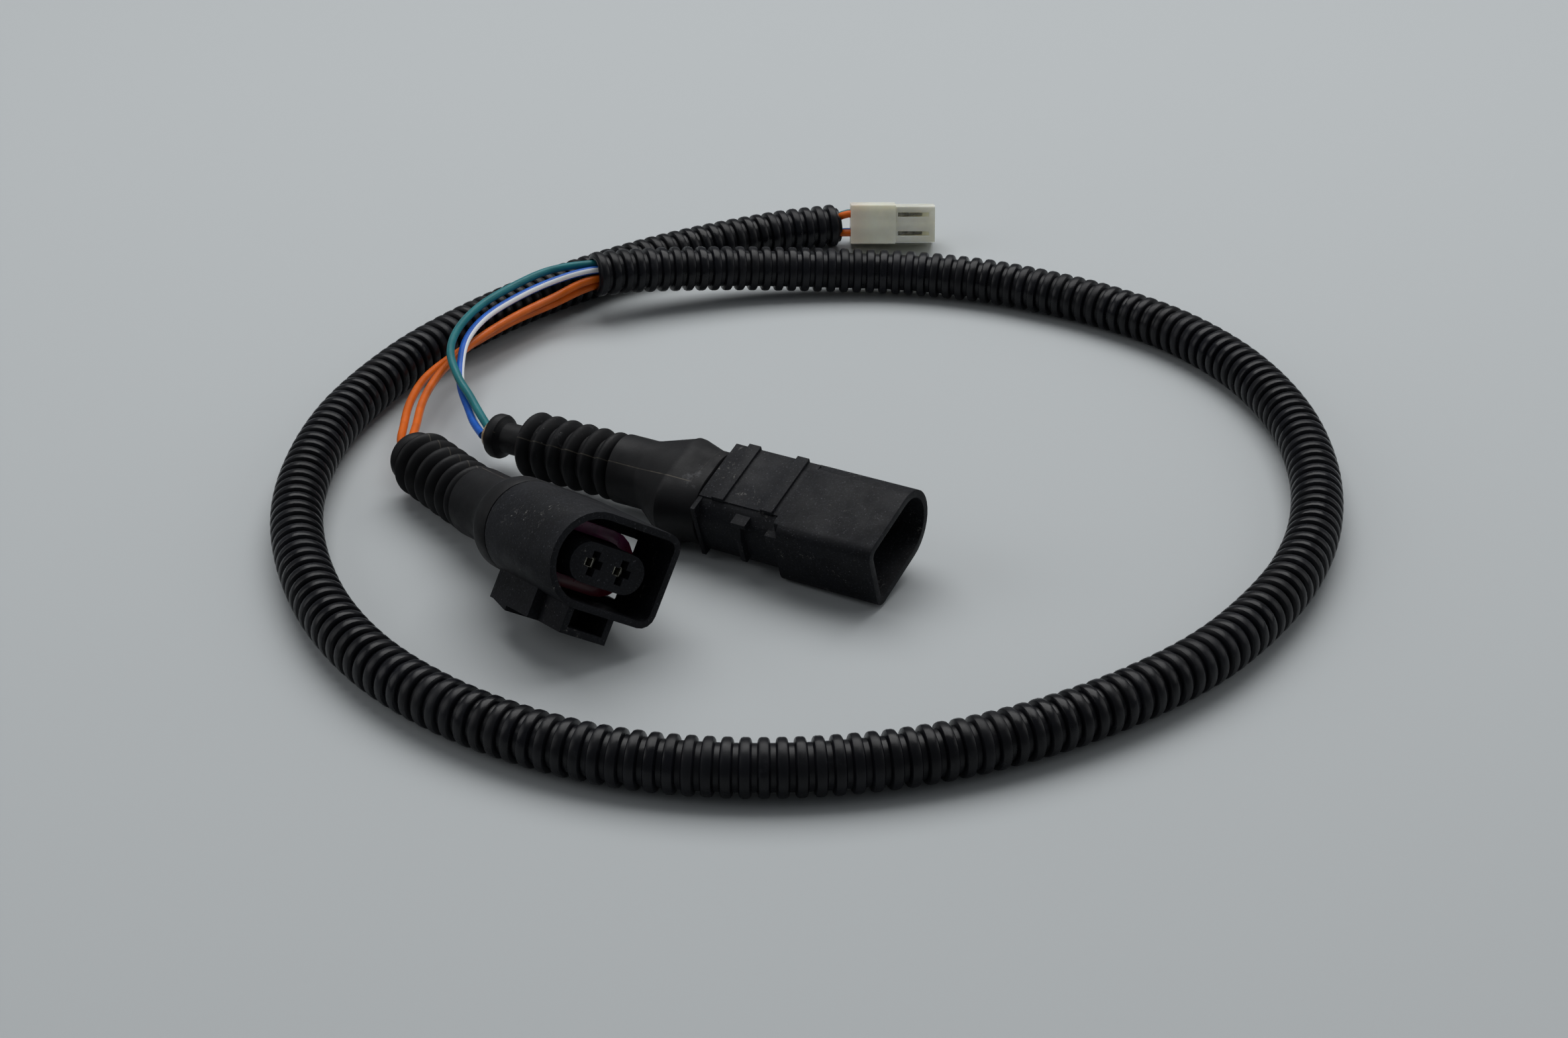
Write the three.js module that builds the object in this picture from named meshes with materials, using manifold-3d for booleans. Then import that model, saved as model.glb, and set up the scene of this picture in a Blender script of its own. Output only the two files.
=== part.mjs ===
// A wiring harness: a corrugated conduit laid in an open loop, with four wires that end in a
// sealed socket connector, a sealed plug connector and a small white four-way connector.
// Millimetres, +Z up, standing on the plane z = 0.

import * as THREE from 'three';
import { mergeVertices } from 'three/addons/utils/BufferGeometryUtils.js';
import Module from 'manifold-3d';

const wasm = await Module();
wasm.setup();

const TURN = 2 * Math.PI;
const RIGHT_ANGLE = Math.PI / 2;

// Fit between two pieces that meet, and how far a cutter runs past the face that it opens
const CLEARANCE = 0.3;
const OVERRUN = 1;

// Conduit and wires
const CONDUIT_DIAMETER = 8.8;
const CONDUIT_SIDES = 12;
const CONDUIT_STEPS = 38;
const WIRE_DIAMETER = 1.5;
const WIRE_SIDES = 8;
const WIRE_STEPS = 11;

// Contacts of both sealed connectors
const CONTACT_PITCH = 5.5;
const BLADE_WIDTH = 2.8;
const BLADE_THICKNESS = 0.8;

// Socket connector, measured back from the rim of its mouth
const SOCKET_WIDTH = 22.2;
const SOCKET_HEIGHT = 15.6;
const SOCKET_WALL = 1.1;
const SOCKET_CORNER = 2.6;
const SOCKET_SHELL_LENGTH = 20.8;
const SOCKET_CAVITY_DEPTH = 11.5;
const SPIGOT_CORNER = 4;
const TOWER_END_SPACE = 3;
const TOWER_SIDE_SPACE = 3.45;
const TOWER_WIDTH = SOCKET_WIDTH - 2 * (SOCKET_WALL + TOWER_END_SPACE);
const TOWER_HEIGHT = SOCKET_HEIGHT - 2 * (SOCKET_WALL + TOWER_SIDE_SPACE);
const TOWER_SHIFT = -0.5;
const TOWER_FACE = 1;
const TOWER_RECESS = 0.9;
const CROSS_WIDTH = 3.2;
const CROSS_HEIGHT = 4;
const CROSS_SLOT = 1.3;
const CROSS_DEPTH = 4.5;
const RECEPTACLE_SIZE = 1.9;
const RECEPTACLE_MOUTH_WIDTH = 1;
const RECEPTACLE_MOUTH_HEIGHT = 1.3;
const RECEPTACLE_LENGTH = 11;
const BARREL_LENGTH = 2;
const SEAL_WIDTH = 1.9;
const SEAL_LENGTH = 3.2;
const SEAL_GROOVE = 0.5;
const WINDOW_WIDTH = 2.7;
const WINDOW_HEIGHT = 2.2;
const WINDOW_OFFSET = 4;
const WINDOW_LENGTH = 7.4;
const LATCH_WIDTH = 8.7;
const LATCH_DROP = 4.2;
const LATCH_BAR = 1.1;
const LATCH_INSET = 0.5;
const LATCH_BLOCK_START = 7.5;
const LATCH_BLOCK_END = 19.6;
const LATCH_BLOCK_SIDE = 1.9;
const LATCH_TAB_LENGTH = 5.5;
const LATCH_TAB_REAR_DROP = 4;
const LATCH_TAB_FRONT_DROP = 5;

// Plug connector, measured back from the rim of its mouth
const PLUG_WIDTH = SOCKET_WIDTH - 2 * SOCKET_WALL - 2 * CLEARANCE;
const PLUG_HEIGHT = SOCKET_HEIGHT - 2 * SOCKET_WALL - 2 * CLEARANCE;
const PLUG_WALL = 1.3;
const PLUG_CORNER = 2;
const PLUG_CAVITY_CORNER = 1.1;
const PLUG_SHELL_LENGTH = 18;
const PLUG_CAVITY_DEPTH = 15;
const PLUG_BODY_LENGTH = 15.2;
const PLUG_BODY_WIDTH = 17;
const PLUG_BODY_HEIGHT = 12.4;
const PLUG_BODY_CORNER = 4;
const PLUG_BODY_SHIFT = -0.5;
const PLUG_SPIGOT_LENGTH = 5;
const PLATEAU_WIDTH = 12.8;
const PLATEAU_STEP = 0.3;
const RIB_HEIGHT = 0.6;
const RIB_LENGTH = 2.2;
const RIB_GAP = 1.8;
const RIB_OVERHANG = 0.2;
const SECOND_RIB_BACK = 1.2;
const FIN_THICKNESS = 0.9;
const FIN_HEIGHT = 1.3;
const FIN_BACK = 6.7;
const FIN_INSET = 0.5;
const FIN_TOP_MARGIN = 1;
const FLANGE_THICKNESS = 0.8;
const FLANGE_NEAR = 9.5;
const FLANGE_FAR = 6.6;
const FLANGE_TOP = 5.9;
const FLANGE_BOTTOM = 4.8;
const LUG_WIDTH = 1.4;
const LUG_HEIGHT = 2.6;
const LUG_LENGTH = 1.3;
const NOTCH_LENGTH = 0.9;
const BLADE_RECESS = 4;
const BLADE_TAIL = 7;
const BLADE_TIP = 0.6;
const BLADE_TIP_LENGTH = 1;

// Boots: the corrugated tail of each and the collar that covers its connector's spigot
const BOOT_SEGMENTS = 24;
const BOOT_WALL = 1.6;
const SOCKET_RING_RADIUS = 5.9;
const PLUG_RING_RADIUS = 5.9;
const RING_DEPTH = 1.1;
const SOCKET_RING_PITCH = 3.35;
const PLUG_RING_PITCH = 3.3;
const RING_COUNT = 6;
const RING_SHARE = 0.84;
const SLEEVE_STEP = 0.1;
const LIP_CHAMFER = 0.4;
const BEAD_CHAMFER = 0.6;
const COLLAR_OVERHANG = 0.35;
const SOCKET_COLLAR_RADIUS = 9;
const SOCKET_COLLAR_LENGTH = 3.6;
const SOCKET_FLARE_LENGTH = 10;
const SOCKET_SLEEVE_LENGTH = 8.2;
const SOCKET_BEAD_RADIUS = 4.6;
const SOCKET_BEAD_LENGTH = 3;
const SOCKET_ENTRY_RADIUS = 2.2;
const PLUG_COLLAR_RADIUS = 8;
const PLUG_COLLAR_WIDTH = 17;
const PLUG_COLLAR_HEIGHT = 13;
const PLUG_FLARE_WIDTH = 18.8;
const PLUG_FLARE_HEIGHT = 13.5;
const PLUG_FLARE_CORNER = 5.5;
const PLUG_COLLAR_SHIFT = -1.2;
const PLUG_COLLAR_LENGTH = 7;
const PLUG_FLARE_LENGTH = 6.7;
const PLUG_SLEEVE_LENGTH = 6;
const PLUG_BEAD_RADIUS = 3.95;
const PLUG_BEAD_LENGTH = 2.2;
const PLUG_NECK_RADIUS = 2.75;
const PLUG_NECK_LENGTH = 5.6;
const PLUG_ENTRY_RADIUS = 1.9;
const SEALANT_DOME = 1.6;

// White connector, measured forward from its rear face
const WHITE_SIZE = 8.2;
const WHITE_CORNER = 0.4;
const WHITE_REAR_LENGTH = 9.3;
const WHITE_FRONT_SIZE = 7.6;
const WHITE_FRONT_LENGTH = 8.2;
const WHITE_PITCH = 3.9;
const WHITE_CAVITY = 2.9;
const WHITE_CAVITY_DEPTH = 7.9;
const WHITE_CHANNEL = 2.1;
const WHITE_SLOT_HEIGHT = 0.9;
const WHITE_SLOT_REAR_MARGIN = 0.2;
const WHITE_SLOT_FRONT_MARGIN = 1.2;
const WHITE_WIRE_INSERTION = 2;
const WIRE_SPREAD = 0.8;
const PIN_SIZE = 1.5;
const PIN_TAB_THICKNESS = 0.7;
const PIN_TAB_LENGTH = 5;

// Where each connector lies: the middle of its mouth or rear face, its heading from +X in the
// floor plane, how far its nose is raised, and its roll about its own axis, in degrees
const SOCKET_PLACE = { at: [-8.1, -77.1, 16.05], heading: -54.8, raised: 11.3, roll: -33.8 };
const PLUG_PLACE = { at: [37.1, -57.8, 9], heading: -30, raised: 1.4, roll: 17 };
const WHITE_PLACE = { at: [32.2, 78.4, 5.3], heading: 0, raised: 0, roll: -20 };

// How far each boot's tail turns off its connector's axis, and towards which side, in degrees
const SOCKET_BEND = { angle: 9.5, towards: 136, start: -41, length: 10 };
const PLUG_BEND = { angle: 3, towards: -57, length: 30 };

// Centre lines of the conduit and the wires
const CONDUIT_ROUTE = [
  [-19.2, 44.2, 9.2], [-12.9, 47.1, 8.6], [-6.2, 49.5, 7.9], [0.8, 51.4, 7.2],
  [10.5, 53.7, 6.2], [26.2, 55.4, 5.1], [42.1, 55.2, 4.6], [57.6, 51.7, 4.5],
  [68.5, 47, 4.5], [80.3, 40.1, 4.5], [93.4, 28.6, 4.5], [103.5, 12.8, 4.5],
  [109.2, -6.7, 4.5], [109.9, -26.8, 4.5], [106.9, -44.6, 4.5], [101.3, -59.4, 4.5],
  [93.7, -71.9, 4.5], [83.7, -84, 4.5], [71.8, -93.9, 4.5], [58.4, -102.1, 4.5],
  [44.6, -108.1, 4.5], [31.2, -111.6, 4.5], [17.2, -113.1, 4.5], [3.6, -112.4, 4.5],
  [-9.1, -109.6, 4.5], [-21.6, -104.2, 4.5], [-33.3, -96.5, 4.5], [-44.1, -86.2, 4.5],
  [-53.3, -72.6, 4.5], [-60.1, -56.1, 4.5], [-63.7, -39.7, 4.5], [-64, -23.8, 4.5],
  [-61.6, -7.6, 4.5], [-55.9, 8.4, 4.5], [-48.1, 22.8, 4.5], [-30.1, 44.8, 4.5],
  [-7.9, 62.7, 4.5], [16.4, 75.2, 4.5], [29.5, 79.2, 4.5],
];
const TEAL_ROUTE = [
  [-20.6, 44.9, 11.1], [-27.7, 42.4, 10.9], [-34.4, 35.2, 10.7], [-39.6, 27.2, 10.5],
  [-42.8, 17.6, 10.2], [-43.2, 9, 9.7], [-40.8, 0.7, 8.6], [-38.3, -4.6, 7.8],
  [-36.1, -9.8, 7.2], [-33.9, -14.9, 6.8],
];
const BLUE_ROUTE = [
  [-20.4, 43.4, 10.3], [-27.1, 40.2, 9.5], [-33.6, 33.2, 9.2], [-38.7, 24.8, 9],
  [-41.1, 16.2, 8.7], [-41.3, 7.9, 7.9], [-40.6, 1.2, 6.7], [-38.6, -5.4, 5.8],
  [-36.9, -11.2, 5.8], [-34.8, -16.4, 6.1],
];
const ORANGE_1_ROUTE = [
  [-20.1, 42.7, 8.6], [-26.7, 38.4, 7], [-32.7, 31.4, 6.8], [-37.9, 23.4, 6.8],
  [-42.2, 15.1, 6.6], [-45.3, 6.3, 6.4], [-46.9, -2.9, 6.2], [-47, -12.8, 6.1],
  [-46.9, -18.2, 6.2], [-44.8, -24.5, 6.3],
];
const ORANGE_2_ROUTE = [
  [-19.8, 43.4, 6.9], [-27.1, 39.2, 5.1], [-33.6, 32.4, 5], [-39.3, 24.4, 5],
  [-44.3, 15.8, 5.2], [-47.9, 6.5, 5.6], [-49.3, -3.6, 5.9], [-49.2, -13.2, 6],
  [-48.8, -19.2, 6.2], [-46.4, -25.7, 6.3],
];

const LOOKS = {
  conduit: { color: 0x17181b, roughness: 0.55, metalness: 0 },
  teal: { color: 0x1f7f86, roughness: 0.5, metalness: 0 },
  blue: { color: 0x2f5fb0, roughness: 0.5, metalness: 0 },
  orange: { color: 0xd5701f, roughness: 0.5, metalness: 0 },
  rubber: { color: 0x15161a, roughness: 0.75, metalness: 0 },
  housing: { color: 0x191a1d, roughness: 0.6, metalness: 0 },
  seal: { color: 0x7b1f6a, roughness: 0.5, metalness: 0 },
  sealant: { color: 0x6b5a3c, roughness: 0.35, metalness: 0 },
  white: { color: 0xd9d8cf, roughness: 0.45, metalness: 0 },
  contact: { color: 0xb9b6ad, roughness: 0.35, metalness: 1 },
};

// Meshes and solids

function piece(name, look, geometry) {
  const mesh = new THREE.Mesh(geometry, new THREE.MeshStandardMaterial(LOOKS[look]));
  mesh.name = name;
  return mesh;
}

function merged(geometry) {
  const bare = geometry.clone();
  bare.deleteAttribute('normal');
  bare.deleteAttribute('uv');
  return mergeVertices(bare, 1e-5);
}

function solidOf(geometry) {
  const bare = merged(geometry);
  return new wasm.Manifold(new wasm.Mesh({
    numProp: 3,
    vertProperties: new Float32Array(bare.attributes.position.array),
    triVerts: new Uint32Array(bare.index.array),
  }));
}

function geometryOf(solid) {
  const mesh = solid.getMesh();
  const geometry = new THREE.BufferGeometry();
  geometry.setAttribute('position', new THREE.BufferAttribute(new Float32Array(mesh.vertProperties), 3));
  geometry.setIndex(new THREE.BufferAttribute(new Uint32Array(mesh.triVerts), 1));
  geometry.computeVertexNormals();
  return geometry;
}

function joined(solids) {
  return solids.reduce((whole, next) => whole.add(next));
}

function cutBy(solid, cutters) {
  return cutters.reduce((whole, next) => whole.subtract(next), solid);
}

// Outlines, as lists of points run anticlockwise

function arcPoints(x, y, radius, start, end, steps) {
  return Array.from({ length: steps + 1 }, (_, step) => {
    const angle = start + (end - start) * step / steps;
    return new THREE.Vector2(x + radius * Math.cos(angle), y + radius * Math.sin(angle));
  });
}

function roundedOutline(width, height, radius) {
  const x = width / 2 - radius;
  const y = height / 2 - radius;
  return [
    ...arcPoints(x, -y, radius, -RIGHT_ANGLE, 0, 3),
    ...arcPoints(x, y, radius, 0, RIGHT_ANGLE, 3),
    ...arcPoints(-x, y, radius, RIGHT_ANGLE, 2 * RIGHT_ANGLE, 3),
    ...arcPoints(-x, -y, radius, 2 * RIGHT_ANGLE, 3 * RIGHT_ANGLE, 3),
  ];
}

function ovalOutline(width, height) {
  const radius = height / 2;
  const x = width / 2 - radius;
  return [
    ...arcPoints(x, 0, radius, -RIGHT_ANGLE, RIGHT_ANGLE, 10),
    ...arcPoints(-x, 0, radius, RIGHT_ANGLE, 3 * RIGHT_ANGLE, 10),
  ];
}

function shifted(outline, x) {
  return outline.map((point) => new THREE.Vector2(point.x + x, point.y));
}

// A D: one side a half round, the other square with rounded corners. roundSide is -1 or 1.
function dOutline(width, height, corner, roundSide) {
  const half = height / 2;
  const x = width / 2 - corner;
  const points = [
    ...arcPoints(x, -half + corner, corner, -RIGHT_ANGLE, 0, 4),
    ...arcPoints(x, half - corner, corner, 0, RIGHT_ANGLE, 4),
    ...arcPoints(half - width / 2, 0, half, RIGHT_ANGLE, 3 * RIGHT_ANGLE, 16),
  ];
  if (roundSide < 0) {
    return points;
  }
  return points.map((point) => new THREE.Vector2(-point.x, point.y)).reverse();
}

// The straight solid of an outline between two stations on the Z axis
function bar(outline, from, to) {
  const shape = new THREE.Shape(outline);
  const geometry = new THREE.ExtrudeGeometry(shape, { depth: to - from, bevelEnabled: false });
  geometry.translate(0, 0, from);
  return solidOf(geometry);
}

function block(x0, x1, y0, y1, z0, z1) {
  const geometry = new THREE.BoxGeometry(x1 - x0, y1 - y0, z1 - z0);
  geometry.translate((x0 + x1) / 2, (y0 + y1) / 2, (z0 + z1) / 2);
  return solidOf(geometry);
}

function cylinder(radius, from, to, sides) {
  const geometry = new THREE.CylinderGeometry(radius, radius, to - from, sides);
  geometry.rotateX(RIGHT_ANGLE);
  geometry.translate(0, 0, (from + to) / 2);
  return solidOf(geometry);
}

// A group at a connector's place, with its Z axis towards the mating end and its Y axis upwards
function placed(place, pieces) {
  const heading = THREE.MathUtils.degToRad(place.heading);
  const raised = THREE.MathUtils.degToRad(place.raised);
  const seat = new THREE.Group();
  seat.up.set(0, 0, 1);
  seat.position.set(...place.at);
  seat.lookAt(
    place.at[0] + Math.cos(raised) * Math.cos(heading),
    place.at[1] + Math.cos(raised) * Math.sin(heading),
    place.at[2] + Math.sin(raised),
  );
  const rolled = new THREE.Group();
  rolled.rotation.z = THREE.MathUtils.degToRad(place.roll);
  rolled.add(...pieces);
  seat.add(rolled);
  return seat;
}

// Conduit and wires

function tube(name, look, route, diameter, sides, steps) {
  const path = new THREE.CatmullRomCurve3(route.map((point) => new THREE.Vector3(...point)));
  const section = new THREE.Shape(arcPoints(0, 0, diameter / 2, 0, TURN * (1 - 1 / sides), sides - 1));
  const geometry = new THREE.ExtrudeGeometry(section, { steps, extrudePath: path, bevelEnabled: false });
  return piece(name, look, geometry);
}

function wire(name, look, route, steps) {
  return tube(name, look, route, WIRE_DIAMETER, WIRE_SIDES, steps);
}

// Boots

// The distance from the middle of an outline to its edge, in one direction
function reach(outline, angle) {
  const x = Math.cos(angle);
  const y = Math.sin(angle);
  let distance = 0;
  outline.forEach((start, index) => {
    const end = outline[(index + 1) % outline.length];
    const edgeX = end.x - start.x;
    const edgeY = end.y - start.y;
    const cross = x * edgeY - y * edgeX;
    if (Math.abs(cross) < 1e-9) {
      return;
    }
    const along = (start.x * edgeY - start.y * edgeX) / cross;
    const share = (start.x * y - start.y * x) / cross;
    if (along > 0 && share > -1e-6 && share < 1 + 1e-6) {
      distance = Math.max(distance, along);
    }
  });
  return distance;
}

// Profile points of the corrugations from a station towards the mouth, as [radius, station]
function bellows(start, radius, pitch) {
  const valley = radius - RING_DEPTH;
  const points = [];
  for (let ring = 0; ring < RING_COUNT; ring += 1) {
    const base = start + ring * pitch;
    const width = pitch * RING_SHARE;
    points.push([valley, base]);
    for (let step = 1; step < 6; step += 1) {
      const rise = Math.sin(Math.PI * step / 6) ** 0.6;
      points.push([valley + RING_DEPTH * rise, base + width * step / 6]);
    }
    points.push([valley, base + width]);
  }
  return points;
}

// A boot turned from a closed profile. From each station in the list of forms its section
// changes from a circle of the form's radius to the form's outline, and its tail bends.
function boot(profile, forms, bend) {
  const points = [...profile, profile[0]].map(([radius, station]) => new THREE.Vector2(radius, station));
  const geometry = new THREE.LatheGeometry(points, BOOT_SEGMENTS);
  geometry.rotateX(RIGHT_ANGLE);
  const position = geometry.attributes.position;
  const vertex = new THREE.Vector3();
  for (let index = 0; index < position.count; index += 1) {
    vertex.fromBufferAttribute(position, index);
    shapeSection(vertex, forms);
    bendTail(vertex, bend);
    position.setXYZ(index, vertex.x, vertex.y, vertex.z);
  }
  return geometry;
}

function shapeSection(vertex, forms) {
  const angle = Math.atan2(vertex.y, vertex.x);
  const next = forms.findIndex((form) => form.station > vertex.z);
  const after = next < 0 ? forms[forms.length - 1] : forms[next];
  const before = next < 0 ? after : forms[Math.max(next - 1, 0)];
  const span = after.station - before.station;
  const share = span > 0 ? THREE.MathUtils.smoothstep(vertex.z, before.station, after.station) : 0;
  const factor = (form) => (form.outline ? reach(form.outline, angle) / form.radius : 1);
  const scale = factor(before) * (1 - share) + factor(after) * share;
  vertex.x *= scale;
  vertex.y *= scale;
}

function bendTail(vertex, bend) {
  const behind = bend.start - vertex.z;
  if (behind <= 0) {
    return;
  }
  const towards = THREE.MathUtils.degToRad(bend.towards);
  const radius = bend.length / THREE.MathUtils.degToRad(bend.angle);
  const turned = Math.min(behind, bend.length) / radius;
  const beyond = Math.max(behind - bend.length, 0);
  const side = new THREE.Vector2(Math.cos(towards), Math.sin(towards));
  const inward = vertex.x * side.x + vertex.y * side.y;
  const shift = radius * (1 - Math.cos(turned)) + beyond * Math.sin(turned);
  const lateral = shift + inward * Math.cos(turned) - inward;
  vertex.x += side.x * lateral;
  vertex.y += side.y * lateral;
  vertex.z = bend.start - radius * Math.sin(turned) - beyond * Math.cos(turned) + inward * Math.sin(turned);
}

// Socket connector

const SOCKET_LIP = -SOCKET_SHELL_LENGTH - CLEARANCE;
const SPIGOT_SHARE = 1 - 2 * BOOT_WALL / SOCKET_HEIGHT;
const SOCKET_OUTLINE = dOutline(SOCKET_WIDTH, SOCKET_HEIGHT, SOCKET_CORNER, -1);
const SOCKET_COLLAR_OUTLINE = dOutline(
  SOCKET_WIDTH + 2 * COLLAR_OVERHANG,
  SOCKET_HEIGHT + 2 * COLLAR_OVERHANG,
  SOCKET_CORNER + COLLAR_OVERHANG,
  -1,
);
const SOCKET_SPIGOT_WIDTH = (SOCKET_WIDTH + 2 * COLLAR_OVERHANG) * SPIGOT_SHARE - 2 * CLEARANCE;
const SOCKET_SPIGOT_HEIGHT = (SOCKET_HEIGHT + 2 * COLLAR_OVERHANG) * SPIGOT_SHARE - 2 * CLEARANCE;
const SOCKET_SPIGOT_END = SOCKET_LIP - SOCKET_COLLAR_LENGTH + CLEARANCE;
const SOCKET_BODY_FLOOR = -SOCKET_CAVITY_DEPTH;

function latchBridge() {
  const top = -SOCKET_HEIGHT / 2 + SOCKET_WALL;
  const bottom = -SOCKET_HEIGHT / 2 - LATCH_DROP;
  const half = LATCH_WIDTH / 2;
  const left = -half - LATCH_BLOCK_SIDE;
  const frame = block(-half, half, bottom, top, -LATCH_BLOCK_START - OVERRUN, -LATCH_INSET);
  const heel = block(left, half, bottom, top, -LATCH_BLOCK_END, -LATCH_BLOCK_START);
  const tunnel = block(
    -half + LATCH_BAR,
    half - LATCH_BAR,
    bottom + LATCH_BAR,
    -SOCKET_HEIGHT / 2,
    -LATCH_BLOCK_START - OVERRUN,
    OVERRUN,
  );
  const tabFront = -LATCH_BLOCK_END + LATCH_TAB_LENGTH;
  const side = new THREE.Shape([
    new THREE.Vector2(-LATCH_BLOCK_END, top),
    new THREE.Vector2(-LATCH_BLOCK_END, -SOCKET_HEIGHT / 2 - LATCH_TAB_REAR_DROP),
    new THREE.Vector2(tabFront, -SOCKET_HEIGHT / 2 - LATCH_TAB_FRONT_DROP),
    new THREE.Vector2(tabFront, top),
  ]);
  const tab = new THREE.ExtrudeGeometry(side, { depth: half - left, bevelEnabled: false });
  tab.rotateY(-RIGHT_ANGLE);
  tab.translate(half, 0, 0);
  return cutBy(joined([frame, heel, solidOf(tab)]), [tunnel]);
}

function socketHousing() {
  const spigot = dOutline(SOCKET_SPIGOT_WIDTH, SOCKET_SPIGOT_HEIGHT, SPIGOT_CORNER, -1);
  const cavity = dOutline(
    SOCKET_WIDTH - 2 * SOCKET_WALL,
    SOCKET_HEIGHT - 2 * SOCKET_WALL,
    SOCKET_CORNER - SOCKET_WALL,
    -1,
  );
  const oval = bar(ovalOutline(TOWER_WIDTH, TOWER_HEIGHT), SOCKET_BODY_FLOOR - OVERRUN, -TOWER_RECESS);
  const tower = oval.translate([0, TOWER_SHIFT, 0]);
  const shell = bar(SOCKET_OUTLINE, -SOCKET_SHELL_LENGTH, 0);
  const hollow = bar(cavity, SOCKET_BODY_FLOOR, OVERRUN);
  const body = joined([cutBy(shell, [hollow]), tower, bar(spigot, SOCKET_SPIGOT_END, -SOCKET_SHELL_LENGTH + OVERRUN)]);
  const cutters = [];
  for (const side of [-1, 1]) {
    const x = side * CONTACT_PITCH / 2;
    const slot = CROSS_SLOT / 2;
    const channel = RECEPTACLE_SIZE / 2 + CLEARANCE;
    const channelFront = -TOWER_RECESS - TOWER_FACE;
    const crossFloor = -TOWER_RECESS - CROSS_DEPTH;
    const way = joined([
      block(x - channel, x + channel, -channel, channel, SOCKET_SPIGOT_END - OVERRUN, channelFront),
      block(x - slot, x + slot, -CROSS_HEIGHT / 2, CROSS_HEIGHT / 2, crossFloor, OVERRUN),
      block(x - CROSS_WIDTH / 2, x + CROSS_WIDTH / 2, -slot, slot, crossFloor, OVERRUN),
    ]);
    cutters.push(way.translate([0, TOWER_SHIFT, 0]), socketWindow(side));
  }
  const whole = joined([body, latchBridge()]);
  return piece('socket_housing', 'housing', geometryOf(cutBy(whole, cutters)));
}

function socketWindow(side) {
  const inner = SOCKET_WIDTH / 2 - SOCKET_WALL - WINDOW_WIDTH;
  const middle = TOWER_SHIFT + side * WINDOW_OFFSET;
  return block(
    inner,
    SOCKET_WIDTH / 2 + OVERRUN,
    middle - WINDOW_HEIGHT / 2,
    middle + WINDOW_HEIGHT / 2,
    SOCKET_BODY_FLOOR - WINDOW_LENGTH,
    SOCKET_BODY_FLOOR + OVERRUN,
  );
}

function sealRing() {
  const inner = ovalOutline(TOWER_WIDTH + 2 * CLEARANCE, TOWER_HEIGHT + 2 * CLEARANCE);
  const across = 2 * CLEARANCE + 2 * SEAL_WIDTH;
  const lip = ovalOutline(TOWER_WIDTH + across, TOWER_HEIGHT + across);
  const waist = ovalOutline(TOWER_WIDTH + across - 2 * SEAL_GROOVE, TOWER_HEIGHT + across - 2 * SEAL_GROOVE);
  const back = SOCKET_BODY_FLOOR + CLEARANCE;
  const third = SEAL_LENGTH / 3;
  const ring = joined([
    bar(lip, back, back + third),
    bar(waist, back + third / 2, back + SEAL_LENGTH - third / 2),
    bar(lip, back + SEAL_LENGTH - third, back + SEAL_LENGTH),
  ]);
  const hole = bar(inner, back - OVERRUN, back + SEAL_LENGTH + OVERRUN);
  return piece('socket_seal_ring', 'seal', geometryOf(cutBy(ring, [hole]).translate([0, TOWER_SHIFT, 0])));
}

function receptacle(side) {
  const x = side * CONTACT_PITCH / 2;
  const half = RECEPTACLE_SIZE / 2;
  const front = -TOWER_RECESS - TOWER_FACE - CLEARANCE;
  const back = front - RECEPTACLE_LENGTH;
  const box = block(x - half, x + half, -half, half, back, front);
  const mouth = block(
    x - RECEPTACLE_MOUTH_WIDTH / 2,
    x + RECEPTACLE_MOUTH_WIDTH / 2,
    -RECEPTACLE_MOUTH_HEIGHT / 2,
    RECEPTACLE_MOUTH_HEIGHT / 2,
    front - CROSS_DEPTH,
    front + OVERRUN,
  );
  const barrel = cylinder(half, back - BARREL_LENGTH, back + half, 12);
  const solid = cutBy(joined([box, barrel.translate([x, 0, 0])]), [mouth]);
  const name = `socket_contact_${side < 0 ? 1 : 2}`;
  return piece(name, 'contact', geometryOf(solid.translate([0, TOWER_SHIFT, 0])));
}

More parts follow.
